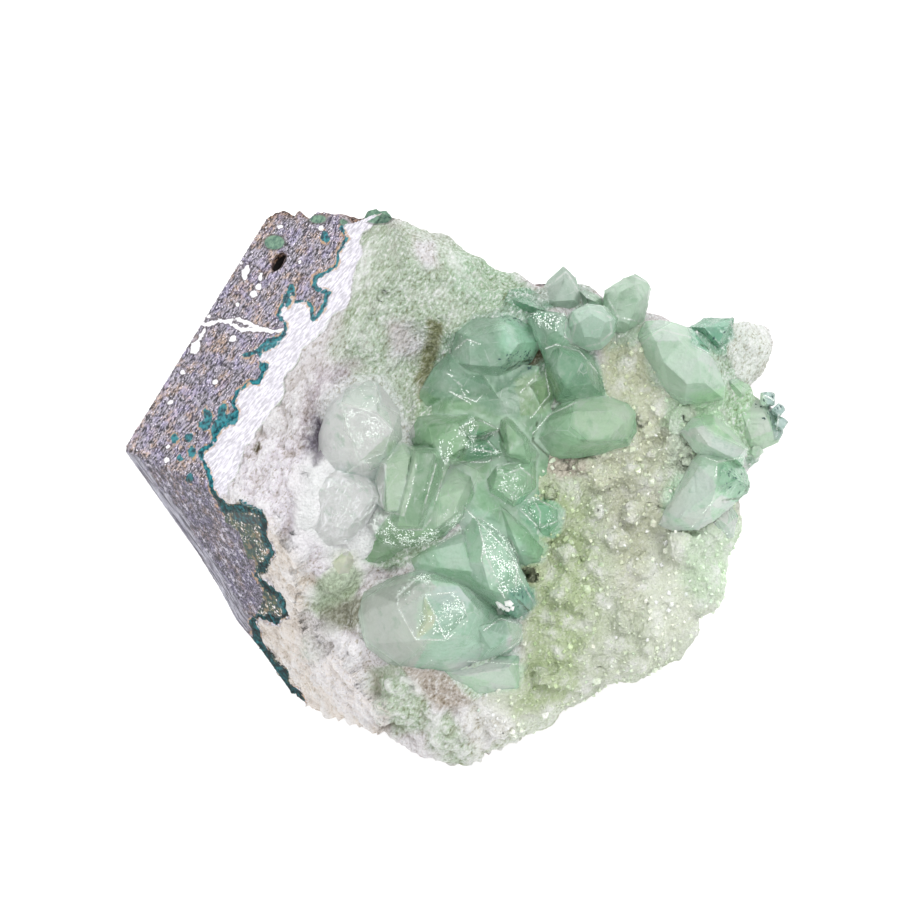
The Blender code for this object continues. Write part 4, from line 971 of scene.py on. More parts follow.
def mounds(points, size, seed, height, level=0.55):
    """Round mounds about size apart: height times how far within level cells of a middle each point is."""
    return height * (level - cells(points, size, seed))


def sawn_relief(points, kind):
    """The saw leaves the faces flat but for small pits."""
    pits = 1 - cells(points, 1.9, 81) / 0.16
    return -0.12 * np.clip(pits, 0, 1) * (kind == BASALT)


def near_crystals(points, kind):
    """1 against the crystals, where the crust grew up them, and 1 a little further off."""
    gap = np.full(len(points), float(FAR))
    where = np.flatnonzero((kind == CRUST) & (points[:, 2] > 8))
    for node in CRYSTAL_NODES:
        gap[where] = np.minimum(gap[where], distances(points[where], tree_of(node), 3.0))
    return smooth_step((GROWN_UP - gap) / 0.6), smooth_step((STAINED - gap) / 1.8)


def crust_tint(places):
    """The crust's colour, zone by zone."""
    colours = np.tile(np.array(CRUST_COLOUR, float), (len(places), 1))
    for colour, edge, *outline in CRUST_ZONES.values():
        cover(colours, zone(places, on_photo(*outline), edge), colour)
    return colours


def cover(colours, share, colour):
    """Moves colours a share of the way toward another, place by place."""
    colours += share[:, None] * (np.array(colour, float) - colours)


def kind_piece(obj, kind, wanted, name):
    """The part of the rock's skin that is of one kind, closed inside by a plain cap."""
    bm = bmesh.new()
    bm.from_mesh(obj.data)
    loops = np.empty(len(obj.data.loops), np.int32)
    obj.data.loops.foreach_get("vertex_index", loops)
    of_face = kind[loops.reshape(-1, 4)].min(axis=1)
    bm.faces.ensure_lookup_table()
    others = [bm.faces[i] for i in np.flatnonzero(of_face != wanted)]
    bmesh.ops.delete(bm, geom=others, context="FACES")
    rim = [edge for edge in bm.edges if edge.is_boundary]
    walls = bmesh.ops.extrude_edge_only(bm, edges=rim)["geom"]
    for vertex in (part for part in walls if isinstance(part, bmesh.types.BMVert)):
        vertex.co += (CORE - vertex.co).normalized() * (CAP_DEPTH * MM)
    edges = [edge for edge in bm.edges if edge.is_boundary]
    filled = bmesh.ops.holes_fill(bm, edges=edges, sides=0)
    bmesh.ops.triangulate(bm, faces=filled["faces"])
    bmesh.ops.recalc_face_normals(bm, faces=bm.faces)
    mesh = bpy.data.meshes.new(name)
    bm.to_mesh(mesh)
    bm.free()
    mesh.polygons.foreach_set("use_smooth", np.ones(len(mesh.polygons), bool))
    piece = link(name, mesh)
    keep_largest(piece)
    return piece


# Materials


class Look:
    """A material and its nodes.

    Where a number or a colour goes in, a node's output does too, and so does the name of a number that is
    kept on the vertices. A colour is a display colour from 0 to 255."""

    def __init__(self, name):
        self.material = bpy.data.materials.new(name)
        self.material.use_nodes = True
        self.tree = self.material.node_tree
        self.shader = self.tree.nodes["Principled BSDF"]

    def set_inputs(self, node, inputs):
        """Sets or links a node's inputs."""
        for key, value in inputs.items():
            socket = node.inputs[key]
            if isinstance(value, str):
                value = self.kept(value)
            if isinstance(value, bpy.types.NodeSocket):
                self.tree.links.new(value, socket)
            elif socket.type == "RGBA":
                socket.default_value = (*linear(value).tolist(), 1)
            else:
                socket.default_value = value

    def add(self, kind, inputs, **settings):
        """Adds a node, with its settings, and its inputs set or linked."""
        made = self.tree.nodes.new(kind)
        for key, value in settings.items():
            setattr(made, key, value)
        self.set_inputs(made, inputs)
        return made

    def mixed(self, share, first, second, blend="MIX"):
        """Two colours mixed."""
        inputs = {0: share, 6: first, 7: second}
        return self.add("ShaderNodeMix", inputs, data_type="RGBA", blend_type=blend).outputs[2]

    def tinted(self, colour, tint):
        """A colour multiplied by another."""
        return self.mixed(1.0, colour, tint, "MULTIPLY")

    def reckon(self, operation, first, second):
        """A sum, product or other reckoning of two values."""
        return self.add("ShaderNodeMath", {0: first, 1: second}, operation=operation).outputs[0]

    def times(self, first, second):
        """The product of two values."""
        return self.reckon("MULTIPLY", first, second)

    def plus(self, first, second):
        """The sum of two values."""
        return self.reckon("ADD", first, second)

    def minus(self, first, second):
        """The first value less the second."""
        return self.reckon("SUBTRACT", first, second)

    def spread(self, value, low, high, start=0.0, end=1.0):
        """A value moved from the range low to high into start to end, and held there."""
        inputs = {"Value": value, "From Min": low, "From Max": high, "To Min": start, "To Max": end}
        return self.add("ShaderNodeMapRange", inputs).outputs["Result"]

    def kept(self, name, output="Fac"):
        """A number, or a colour as output, kept on the vertices."""
        return self.add("ShaderNodeAttribute", {}, attribute_name=name).outputs[output]

    def place(self):
        """Where the shaded point is."""
        return self.add("ShaderNodeTexCoord", {}).outputs["Object"]

    def drawn_out(self, degrees, times):
        """Places for a pattern that is so many times longer one way than across."""
        inputs = {"Vector": self.place(), "Rotation": (0, 0, math.radians(degrees)), "Scale": (times, 1, 1)}
        return self.add("ShaderNodeMapping", inputs, vector_type="TEXTURE").outputs["Vector"]

    def grain(self, size, detail=3.0, roughness=0.6, vector=None):
        """Noise whose lumps are about size apart, in mm."""
        inputs = {"Vector": vector or self.place(), "Scale": 1 / (size * MM), "Detail": detail}
        return self.add("ShaderNodeTexNoise", inputs | {"Roughness": roughness}).outputs["Fac"]

    def cells(self, size, feature="F1"):
        """Distance, in cells, to the nearest of points about size apart, or to the edges of their cells."""
        inputs = {"Vector": self.place(), "Scale": 1 / (size * MM)}
        return self.add("ShaderNodeTexVoronoi", inputs, feature=feature).outputs["Distance"]

    def bump(self, height, depth):
        """Fine relief of a depth in mm."""
        inputs = {"Height": height, "Distance": depth * MM, "Strength": 1.0}
        return self.add("ShaderNodeBump", inputs).outputs["Normal"]


WHITE = (255, 255, 255)
SAWN_ROUGHNESS = 0.5
# How much of the broken rock's fine relief is left where it is sawn.
SAWN_RELIEF = 0.12
APOPHYLLITE_IOR = 1.535
ABSORBED_TO = (176, 226, 190)


def basalt_colour(look):
    """Grey basalt: a felt of feldspar laths and dark grains, with a brown and a lilac cast."""
    fine = look.grain(0.4, 3.0, 0.75, look.drawn_out(50, 2.2))
    laths = look.spread(fine, 0.42, 0.58)
    colour = look.mixed(laths, (30, 26, 32), (172, 166, 180))
    brown = look.spread(look.grain(3.2, 3.0), 0.47, 0.61)
    brown = look.times(brown, look.spread(look.grain(0.7, 2.0), 0.42, 0.56, 0.2, 0.9))
    colour = look.mixed(brown, colour, look.mixed(laths, (58, 42, 36), (204, 176, 156)))
    lilac = look.spread(look.grain(2.4, 2.0), 0.5, 0.64, 0.0, 0.6)
    colour = look.mixed(lilac, colour, look.mixed(laths, (58, 52, 78), (172, 164, 200)))
    pale = look.spread(look.cells(0.6), 0.24, 0.14)
    colour = look.mixed(pale, colour, (238, 232, 242))
    dark = look.spread(look.cells(0.9), 0.22, 0.12)
    colour = look.mixed(dark, colour, (34, 28, 32))
    darker = look.tinted(colour, (184, 182, 196))
    colour = look.mixed("lower", colour, darker)
    coarse = look.grain(1.1, 4.0, 0.75, look.drawn_out(-40, 1.2))
    white_laths = look.times(look.spread(coarse, 0.55, 0.62, 0.0, 0.8), "lower")
    colour = look.mixed(white_laths, colour, (206, 202, 214))
    black_laths = look.times(look.spread(coarse, 0.46, 0.38, 0.0, 0.8), "lower")
    colour = look.mixed(black_laths, colour, (26, 24, 30))
    smear = look.spread(look.grain(0.4, 2.0, 0.6, look.drawn_out(-55, 12.0)), 0.4, 0.6)
    smeared = look.mixed(smear, (60, 58, 72), (190, 190, 202))
    near_rim = look.plus("rim", look.spread(look.grain(2.0), 0.3, 0.7, -0.5, 0.5))
    colour = look.mixed(look.spread(near_rim, 1.4, 0.8, 0.0, 0.7), colour, smeared)
    hole = look.spread("hole", 0.05, -0.1)
    return look.mixed(hole, colour, (14, 11, 12))


def mottled_colour(look):
    """The lining of the sawn cavity: dark green, black and olive, with white and tan crystals."""
    tone = look.grain(0.9, 3.0, 0.65)
    colour = look.mixed(look.spread(tone, 0.36, 0.5), (4, 10, 10), (14, 60, 54))
    colour = look.mixed(look.spread(tone, 0.52, 0.6), colour, (78, 84, 50))
    tan = look.times(look.spread(look.grain(1.3, 2.0), 0.56, 0.61), 0.5)
    colour = look.mixed(tan, colour, (150, 122, 88))
    white = look.spread(look.grain(0.5, 2.0, 0.6), 0.55, 0.6)
    white = look.times(white, look.spread(look.grain(2.2, 2.0), 0.44, 0.54))
    return look.mixed(white, colour, (232, 226, 222))


def teal_colour(look):
    """Celadonite: deep teal with darker and greener grains."""
    tone = look.spread(look.grain(0.7, 3.0), 0.4, 0.6)
    colour = look.mixed(tone, (2, 52, 64), (40, 130, 140))
    share = look.times("lower", look.spread(look.grain(1.9, 2.0), 0.42, 0.5, 0.5, 1.0))
    colour = look.mixed(share, colour, look.tinted(colour, (150, 160, 152)))
    black = look.spread(look.grain(1.1, 4.0, 0.7), 0.5, 0.57, 0.0, 0.9)
    black = look.times(black, "lower")
    return look.mixed(black, colour, (6, 14, 12))


def satin_colour(look):
    """Mordenite cut across its fibres: white silk in fine rays away from the seam."""
    rays = look.spread(look.grain(0.4, 3.0, 0.65, look.drawn_out(38, 5.0)), 0.4, 0.6)
    white = look.mixed(rays, (184, 181, 190), (232, 229, 238))
    frayed = look.times(look.spread("slope", 0.95, 0.55), look.spread(rays, 0.3, 0.7, 1.0, 0.3))
    return look.mixed(frayed, white, (192, 200, 186))


def sawn_colour(look):
    """The polished cut through basalt, celadonite and mordenite, with veins and a gas hole painted near
    black.
    """
    ragged = look.times(look.minus(look.grain(0.9, 4.0), 0.5), 1.1)
    fine = look.times(look.minus(look.grain(0.45, 3.0), 0.5), 0.7)

    def within(name, wobble):
        return look.spread(look.plus(name, wobble), 0.07, -0.07)

    white_side = look.spread(look.plus("across", fine), -0.07, 0.07)
    colour = look.mixed(white_side, basalt_colour(look), satin_colour(look))
    border = look.spread(look.plus("pale", ragged), 0.24, 0.12, 0.0, 0.75)
    border = look.times(border, look.spread("across", -0.4, -0.2, 1.0, 0.0))
    colour = look.mixed(border, colour, (70, 60, 62))
    colour = look.mixed(within("pale", ragged), colour, (240, 238, 244))
    tan = look.spread(look.plus("teal", fine), 0.34, 0.2)
    tan = look.times(tan, look.spread(look.grain(1.4, 2.0), 0.46, 0.58, 0.0, 0.8))
    colour = look.mixed(tan, colour, (186, 150, 112))
    patch = look.plus("mottled", ragged)
    colour = look.mixed(look.spread(patch, 0.42, 0.58), colour, mottled_colour(look))
    return look.mixed(within("teal", ragged), colour, teal_colour(look))


def broken_height(look):
    """The grain of broken rock."""
    return look.grain(0.5, 4.0, 0.7)


def broken_basalt_colour(look):
    """Basalt where it broke, browner than where it is sawn."""
    return look.tinted(basalt_colour(look), (206, 186, 166))


def stone(name, own_colour, roughness, own_height, relief_depth, shine):
    """A rock material: its own colour where it broke or grew, and the sawn colours on the cuts."""
    look = Look(name)
    sawn = look.kept("sawn")
    colour = look.mixed(sawn, own_colour(look), sawn_colour(look))
    nodule = look.spread("green", 0.35, 0.2, 0.0, 0.6)
    colour = look.mixed(nodule, colour, (58, 62, 52))
    nodule = look.spread("green", 0.08, -0.08)
    leaf = look.spread(look.grain(0.8, 3.0), 0.35, 0.65)
    colour = look.mixed(nodule, colour, look.mixed(leaf, (62, 98, 84), (122, 156, 132)))
    smoother = look.spread(sawn, 0, 1, roughness, SAWN_ROUGHNESS)
    height = look.times(own_height(look), look.spread(sawn, 0, 1, 1.0, SAWN_RELIEF))
    look.set_inputs(look.shader, {
        "Base Color": colour, "Roughness": smoother, "Specular IOR Level": shine,
        "Normal": look.bump(height, relief_depth),
    })
    return look.material


def felt_height(look):
    """Ends of mordenite needles, in tufts."""
    tufts = look.minus(0.8, look.cells(0.62))
    return look.plus(tufts, look.grain(0.3, 3.0, 0.7))


def crust_colour(look):
    """Mordenite felt: its zone's colour, with pale needle ends lit by painted highlights, painted olive
    shade between them, painted shade in the hollows and painted highlights on the crests.
    """
    tint = look.kept("tint", "Color")
    fine = look.grain(0.5, 3.0, 0.7, look.drawn_out(55, 1.8))
    sugary = look.spread("sugary", 0, 1, 0.0, 0.85)
    plainer = look.reckon("MAXIMUM", sugary, look.spread("silky", 0, 1, 0.0, 0.8))
    rougher = look.minus(1.0, plainer)
    # Painted olive shade between the needle ends.
    dark = look.times(look.spread(fine, 0.48, 0.34, 0.0, 0.85), rougher)
    colour = look.mixed(dark, tint, look.tinted(tint, (176, 168, 144)))
    # Painted highlights on the needle ends.
    light = look.times(look.spread(fine, 0.52, 0.64, 0.0, 0.75), look.spread(rougher, 0, 1, 0.4, 1.0))
    colour = look.mixed(light, colour, (246, 246, 246))
    patches = look.spread(look.grain(3.4, 3.0), 0.5, 0.68, 0.0, 0.25)
    colour = look.mixed(patches, colour, (232, 229, 232))
    # Painted shade in the hollows of the relief.
    hollow = look.spread("height", 0.0, -0.9, 0.0, 0.7)
    hollow = look.times(hollow, rougher)
    colour = look.mixed(hollow, colour, look.tinted(colour, (204, 194, 180)))
    rays = look.spread(look.grain(0.6, 3.0, 0.65, look.drawn_out(-20, 3.0)), 0.4, 0.6, 0.0, 0.7)
    rays = look.times(rays, "lower")
    colour = look.mixed(rays, colour, (252, 244, 238))
    # Painted highlights on the crests of the relief.
    crest_highlight = look.spread("height", 0.1, 0.8, 0.0, 0.6)
    colour = look.mixed(crest_highlight, colour, (250, 249, 250))
    fur = look.mixed(look.spread(fine, 0.4, 0.6), look.tinted(tint, (196, 196, 190)), tint)
    return look.mixed(look.spread("shaded", 0, 1, 0.0, 0.75), colour, fur)


def apophyllite(name, clearness, density):
    """Pale green, partly see-through apophyllite, frosted where it is etched, with painted highlights along
    its ridges and lit edges and painted shade along its clefts.
    """
    look = Look(name)
    tint = look.kept("tint", "Color")
    veil = look.spread(look.grain(3.4, 4.0, 0.6), 0.46, 0.66, 0.0, 0.5)
    colour = look.mixed(veil, tint, look.mixed(0.6, tint, (244, 250, 246)))
    deep = look.spread(look.grain(2.3, 3.0, 0.6), 0.56, 0.7, 0.0, 0.7)
    colour = look.mixed(deep, colour, look.tinted(colour, (206, 228, 212)))
    speckle = look.spread(look.grain(0.4, 3.0, 0.7), 0.4, 0.62, 0.0, 0.3)
    colour = look.mixed(speckle, colour, look.tinted(colour, (222, 232, 222)))
    crack = look.spread(look.cells(5.0, "DISTANCE_TO_EDGE"), 0.02, 0.0)
    crack = look.times(crack, look.spread(look.grain(2.0, 2.0), 0.5, 0.6, 0.0, 0.6))
    colour = look.mixed(crack, colour, (244, 252, 246))
    streaks = look.grain(0.5, 2.0, 0.5, look.drawn_out(70, 8.0))
    streaks = look.spread(streaks, 0.58, 0.66)
    streaks = look.times(streaks, look.spread(look.grain(3.0, 2.0), 0.48, 0.6, 0.0, 0.5))
    colour = look.mixed(streaks, colour, (236, 248, 240))
    # Painted highlight along the ridges.
    ridge = look.spread("ridge", 0.2, 0.7, 0.0, 0.7)
    colour = look.mixed(ridge, colour, (240, 248, 242))
    # Painted shade along the clefts and painted highlights along the lit edges, in broken lines.
    broken = look.spread(look.grain(1.2, 2.0), 0.4, 0.5)
    line = look.times(look.spread("cleft_shade", 0.28, 0.08, 0.0, 0.8), broken)
    colour = look.mixed(line, colour, (84, 104, 76))
    line = look.times(look.spread("edge_highlight", 0.24, 0.06, 0.0, 0.85), broken)
    colour = look.mixed(line, colour, (250, 255, 250))
    frost = look.kept("frost")
    terrace = look.reckon("SNAP", look.grain(2.6, 3.0, 0.5), 0.05)
    rough = look.times(look.grain(0.45, 3.0, 0.7), look.spread(frost, 0, 1, 0.08, 0.5))
    look.set_inputs(look.shader, {
        "Base Color": colour, "Roughness": look.spread(frost, 0, 1, 0.04, 0.42), "IOR": APOPHYLLITE_IOR,
        "Transmission Weight": clearness, "Normal": look.bump(look.plus(terrace, rough), 0.35),
    })
    absorb = look.add("ShaderNodeVolumeAbsorption", {"Color": ABSORBED_TO, "Density": density})
    look.set_inputs(look.tree.nodes["Material Output"], {"Volume": absorb.outputs["Volume"]})
    return look.material


def plain(name, colour, roughness, glow):
    """A surface with a faint mottle. Its glow stands for light caught by facets too small to show."""
    look = Look(name)
    mottle = look.spread(look.grain(0.8, 2.0), 0.3, 0.7)
    darker = tuple(0.9 * part for part in colour)
    look.set_inputs(look.shader, {
        "Base Color": look.mixed(mottle, darker, colour), "Roughness": roughness, "Emission Color": WHITE,
        "Emission Strength": glow,
    })
    return look.material


# Crystals


def milk(colours):
    """The colour of the matter that gives a clear crystal this look: some light is lost inside."""
    return np.clip(colours * CRYSTAL_LOSS, 0, BRIGHTEST)


def crystal_tint(places):
    """The colour and the frostiness of the apophyllite, zone by zone."""
    colours = np.tile(np.array(CRYSTAL_COLOUR, float), (len(places), 1))
    frost = np.full(len(places), 0.5)
    known = np.zeros(len(places))
    nearest = np.full(len(places), np.inf)
    outer = colours.copy()
    for colour, edge, frosted, *outline in CRYSTAL_ZONES.values():
        share = zone(places, on_photo(*outline), edge)
        gap = edge_distance(places, on_photo(*outline))
        outer[gap < nearest] = colour
        nearest = np.minimum(nearest, gap)
        cover(colours, share, colour)
        frost += share * (frosted - frost)
        known = np.maximum(known, share)
    cover(colours, 1 - known, outer)
    return colours, frost, known


def finely_cut(node):
    """A packed crystal or cluster as a fine mesh."""
    bm = welded(node)
    mesh = bpy.data.meshes.new(node + "_crystals")
    bm.to_mesh(mesh)
    bm.free()
    obj = link(node + "_crystals", mesh)
    low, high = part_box(node)
    depth = FINE_DEPTH if max(high - low) > LARGE_CLUSTER * MM else COARSE_DEPTH
    modified(obj, "REMESH", mode="SHARP", octree_depth=depth, scale=0.85, sharpness=1.0,
             use_remove_disconnected=False)
    keep_largest(obj)
    return obj


def growth_relief(points, ridge):
    """The faint waves, growth steps and chipped edges of the crystals."""
    waves = 0.12 * noise(points, 3.0, 91) + 0.05 * noise(points, 1.2, 92)
    steps = fractal(points, 4.5, 96, 2) * 3
    waves += STEP_HEIGHT * (np.floor(steps) + smooth_step((steps - np.floor(steps)) * 6 - 2.5) - steps)
    chips = np.clip(0.32 - cells(points, 1.7, 97), 0, 1)
    return waves - CHIP_DEPTH * chips * np.clip(ridge, 0, 1)


def crystal_piece(node):
    """A crystal or a cluster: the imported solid's facets, finely cut and slightly uneven."""
    obj = finely_cut(node)
    sharp = positions(obj.data)
    modified(obj, "SMOOTH", factor=0.5, iterations=1)
    mesh = obj.data
    soft = positions(mesh)
    facing = normals(mesh)
    ridge = np.clip(np.sum((sharp - soft) * facing, axis=1) / RIDGE_DEPTH, -1, 1)
    points = sharp + EDGE_ROUNDING * (soft - sharp) + facing * growth_relief(soft, ridge)[:, None]
    points[:, 2] -= TUCKED_UNDER * smooth_step(-facing[:, 2] / 0.4)
    set_positions(mesh, points)
    colours, frost, _ = crystal_tint(points[:, :2])
    # Painted light and shade, facet by facet.
    colours += 6 * noise(points, 4.0, 94)[:, None] + facet_shading(node, sharp)[:, None]
    # Painted light: the clefts, and the sides that face partly up, are painted paler.
    painted_light = 0.7 * clefts(mesh) + 0.2 * smooth_step(1 - facing[:, 2]) * (facing[:, 2] > 0)
    cover(colours, painted_light, CLEFT_PAINTED_LIGHT)
    set_tint(mesh, milk(colours))
    set_values(mesh, "frost", frost)
    set_values(mesh, "ridge", ridge)
    for name, lines in (("edge_highlight", EDGE_HIGHLIGHTS), ("cleft_shade", CLEFT_SHADE_LINES)):
        gap = min_of(edge_distance(points[:, :2], on_photo(*line), closed=False) for line in lines)
        set_values(mesh, name, np.where(facing[:, 2] > 0, gap, FAR))
    mesh.polygons.foreach_set("use_smooth", np.ones(len(mesh.polygons), bool))
    mesh.set_sharp_from_angle(angle=math.radians(CREASE_DEGREES))
    return obj


def clefts(mesh):
    """1 in the clefts of a mesh, which are painted paler as painted light, and 0 on its open sides."""
    first, second = edge_ends(mesh)
    points = positions(mesh)
    count = np.bincount(np.concatenate([first, second]), minlength=len(points))[:, None]
    smooth = points.copy()
    for _ in range(CLEFT_ROUNDS):
        total = np.zeros_like(smooth)
        for axis in range(3):
            total[:, axis] = np.bincount(first, smooth[second, axis], len(points))
            total[:, axis] += np.bincount(second, smooth[first, axis], len(points))
        smooth = total / np.maximum(count, 1)
    depth = np.sum((smooth - points) * normals(mesh), axis=1)
    return smooth_step(depth / CLEFT_DEPTH)


def facet_shading(node, points):
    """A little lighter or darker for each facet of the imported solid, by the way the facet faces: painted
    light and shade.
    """
    tree = tree_of(node)
    directions = np.array([tree.find_nearest(Vector(point))[1] for point in points * MM])
    return FACET_CONTRAST * (lattice(np.round(directions * 5).astype(np.int64), 99) - 0.5)


def scattered(name, form, centres, turns, sizes, colours=None, frost=None):
    """Many copies of a small form as one mesh: each turned by a matrix and sized along its own axes."""
    template, faces = form
    corners = np.einsum("nij,nkj->nki", turns, template[None] * sizes[:, None, :]) + centres[:, None, :]
    count = len(template)
    mesh = bpy.data.meshes.new(name)
    listed = [tuple(i + n * count for i in face) for n in range(len(centres)) for face in faces]
    mesh.from_pydata((corners.reshape(-1, 3) * MM).tolist(), [], listed)
    mesh.update()
    if colours is not None:
        set_tint(mesh, np.repeat(colours, count, axis=0))
    if frost is not None:
        set_values(mesh, "frost", np.repeat(frost, count))
        for kept, value in (("ridge", 0), ("edge_highlight", FAR), ("cleft_shade", FAR)):
            set_values(mesh, kept, np.full(len(centres) * count, value))
    return link(name, mesh)


def turned_to(directions, rng):
    """Matrices that turn +Z to the given directions, with a random turn about them."""
    along = directions / np.linalg.norm(directions, axis=1, keepdims=True)
    return framed(np.cross(rng.normal(size=along.shape), along), along)


def framed(first, along):
    """Matrices that turn +X to one set of directions and +Z to another, square to it."""
    first = first / np.linalg.norm(first, axis=1, keepdims=True)
    return np.stack([first, np.cross(along, first), along], axis=2)


def spaced(points, gap):
    """The indices of points that keep at least a gap from the ones already taken."""
    taken = {}
    chosen = []
    for index, point in enumerate(points):
        cell = tuple((point // gap).astype(int))
        near = (
            taken.get((cell[0] + i, cell[1] + j, cell[2] + k), ())
            for i, j, k in itertools.product((-1, 0, 1), repeat=3)
        )
        if all(np.dot(point - other, point - other) > gap * gap for group in near for other in group):
            taken.setdefault(cell, []).append(point)
            chosen.append(index)
    return np.array(chosen)


def picked(crystals, pick):
    """The positions and facings of the vertices that pick chooses, crystal by crystal."""
    centres, directions = [], []
    for obj in crystals:
        points = positions(obj.data)
        facing = normals(obj.data)
        for chosen in pick(points, facing):
            centres.append(points[chosen])
            directions.append(facing[chosen])
    return np.concatenate(centres), np.concatenate(directions)


def landed(crystals, places):
    """The highest point of the crystals at each place, and which way they face there."""
    meshes = [obj.data for obj in crystals]
    trees = [BVHTree.FromPolygons(list(map(tuple, positions(mesh))), faces_of(mesh)) for mesh in meshes]
    spots, facings = [], []
    for x, y in places:
        hits = [tree.ray_cast(Vector((x, y, ABOVE_ALL)), Vector((0, 0, -1))) for tree in trees]
        hits = [hit for hit in hits if hit[0] is not None]
        if hits:
            highest = max(hits, key=lambda hit: hit[0].z)
            spots.append(highest[0])
            facings.append(highest[1])
    return np.array(spots), np.array(facings)


def faces_of(mesh):
    """Each face's vertex numbers."""
    return [tuple(face.vertices) for face in mesh.polygons]


def shares(width, *parts):
    """Sizes along three axes, each a share of a width."""
    return width[:, None] * parts


def druse_grains(rock, kind):
    """Sugary small crystals over the druse."""
    rng = np.random.default_rng(11)
    points = positions(rock.data)
    facing = normals(rock.data)
    sugary = zone(points[:, :2], SUGARY_OUTLINE, SUGARY_EDGE)
    likely = (kind == CRUST) & (facing[:, 2] > 0.15) & (rng.random(len(points)) < 0.9 * sugary)
    order = rng.permutation(np.flatnonzero(likely))
    order = order[spaced(points[order], GRAIN_GAP)]
    count = len(order)
    centres = points[order]
    lean = facing[order] + 0.45 * rng.normal(size=centres.shape)
    width = rng.gamma(4.0, 0.085, count).clip(0.15, 1.1)
    sizes = np.stack([width, width * rng.uniform(0.7, 1.2, count), width * rng.uniform(0.8, 1.5, count)], 1)
    # A few grains are painted brighter as painted glints.
    bright = rng.random((count, 1)) < 0.07
    colours = 1.1 * crust_tint(centres[:, :2]) + rng.normal(0, 4, (count, 1)) + 30 * bright
    frost = rng.uniform(0.0, 0.6, count)
    turns = turned_to(lean, rng)
    return scattered("druse_grains", GRAIN_FORM, centres, turns, sizes, np.clip(colours, 0, 250), frost)


def glitter_flakes(crystals):
    """Etch figures that catch the light on some facets, as tiny flakes."""
    rng = np.random.default_rng(12)

    def pick(points, facing):
        clumps = noise(points, 0.9, 95)
        for covered, *outline in GLITTER:
            odds = zone(points[:, :2], on_photo(*outline), 0.25) * covered * (0.5 + 1.2 * clumps)
            for _ in range(2):
                yield (facing[:, 2] > 0.05) & (rng.random(len(points)) < odds)
        stray = 0.02 * np.clip(noise(points, 5.0, 98) - 0.1, 0, 1)
        yield (facing[:, 2] > 0.1) & (rng.random(len(points)) < stray)

    centres, directions = picked(crystals, pick)
    centres += rng.normal(0, 0.12, centres.shape) * (1, 1, 0.2) + 0.05 * directions
    directions += 0.2 * rng.normal(size=centres.shape)
    width = rng.uniform(0.1, 0.34, len(centres))
    sizes = np.stack([width, width * rng.uniform(0.4, 0.9, len(centres)), width * 0.5], axis=1)
    return scattered("glitter_flakes", FLAKE_FORM, centres, turned_to(directions, rng), sizes)


def edge_glints(crystals):
    """Thin bright flakes in broken rows along the edges that catch the light."""
    rng = np.random.default_rng(14)
    places = []
    for line in EDGE_HIGHLIGHTS:
        corners = on_photo(*line)
        for start, end in zip(corners[:-1], corners[1:]):
            count = int(np.linalg.norm(end - start) / GLINT_STEP) + 1
            for share in (np.arange(count) + 0.5) / count:
                places.append(start + share * (end - start) + rng.normal(0, 0.05, 2))
    centres, directions = landed(crystals, places)
    chosen = (noise(centres, 1.3, 101) > -0.15) & (rng.random(len(centres)) < 0.75)
    centres = centres[chosen] + 0.04 * directions[chosen]
    width = rng.uniform(0.1, 0.24, len(centres))
    turns = turned_to(directions[chosen], rng)
    return scattered("edge_glints", FLAKE_FORM, centres, turns, shares(width, 1, 0.7, 0.4))


def white_lumps(crystals):
    """A few white lumps that sit on the tip of a crystal."""
    rng = np.random.default_rng(16)
    places = on_photo(*((x, y) for x, y, _ in WHITE_LUMPS))
    centres, directions = landed(crystals, places)
    turns = turned_to(directions + 0.5 * rng.normal(size=directions.shape), rng)
    width = np.array([width for _, _, width in WHITE_LUMPS])[: len(centres)]
    return scattered("white_lumps", GRAIN_FORM, centres, turns, shares(width, 1, 0.8, 0.7))


def silk_threads(crystals):
    """Silky threads that lie over the bleached crystals on the left."""
    rng = np.random.default_rng(15)

    def pick(points, facing):
        share = zone(points[:, :2], SILK_THREADS, 1.0) * (facing[:, 2] > 0.1)
        streaks = 0.6 + noise(points @ SILK_AXES.T, 1.6, 102)
        yield rng.random(len(points)) < share * THREAD_SHARE * streaks

    centres, along = picked(crystals, pick)
    way = np.array(THREAD_WAY) + 0.1 * rng.normal(size=centres.shape)
    turns = framed(np.cross(way, along), along)
    length = rng.uniform(0.5, 1.8, len(centres))
    sizes = np.stack([np.full(len(centres), 0.09), length, np.full(len(centres), 0.1)], axis=1)
    return scattered("silk_threads", FLAKE_FORM, centres, turns, sizes)


def inclusion_specks(crystals):
    """Dark specks at the surface of the glassy crystals."""
    rng = np.random.default_rng(13)

    def pick(points, facing):
        for count, *outline in INCLUSIONS:
            candidates = np.flatnonzero(zone_mask(points[:, :2], outline) & (facing[:, 2] > 0.2))
            if len(candidates) > 4 * count:
                yield rng.choice(candidates, count, replace=False)

    centres, directions = picked(crystals, pick)
    centres += 0.04 * directions
    width = rng.uniform(0.2, 0.8, len(centres))
    turns = turned_to(directions, rng)
    return scattered("inclusion_specks", FLAKE_FORM, centres, turns, shares(width, 1, 0.4, 0.15))


def finish_piece(obj, material, slot, *nodes):
    """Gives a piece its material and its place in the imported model."""
    obj.data.materials.clear()
    obj.data.materials.append(material)
    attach(obj, "root")
    if nodes:
        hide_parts(*nodes)


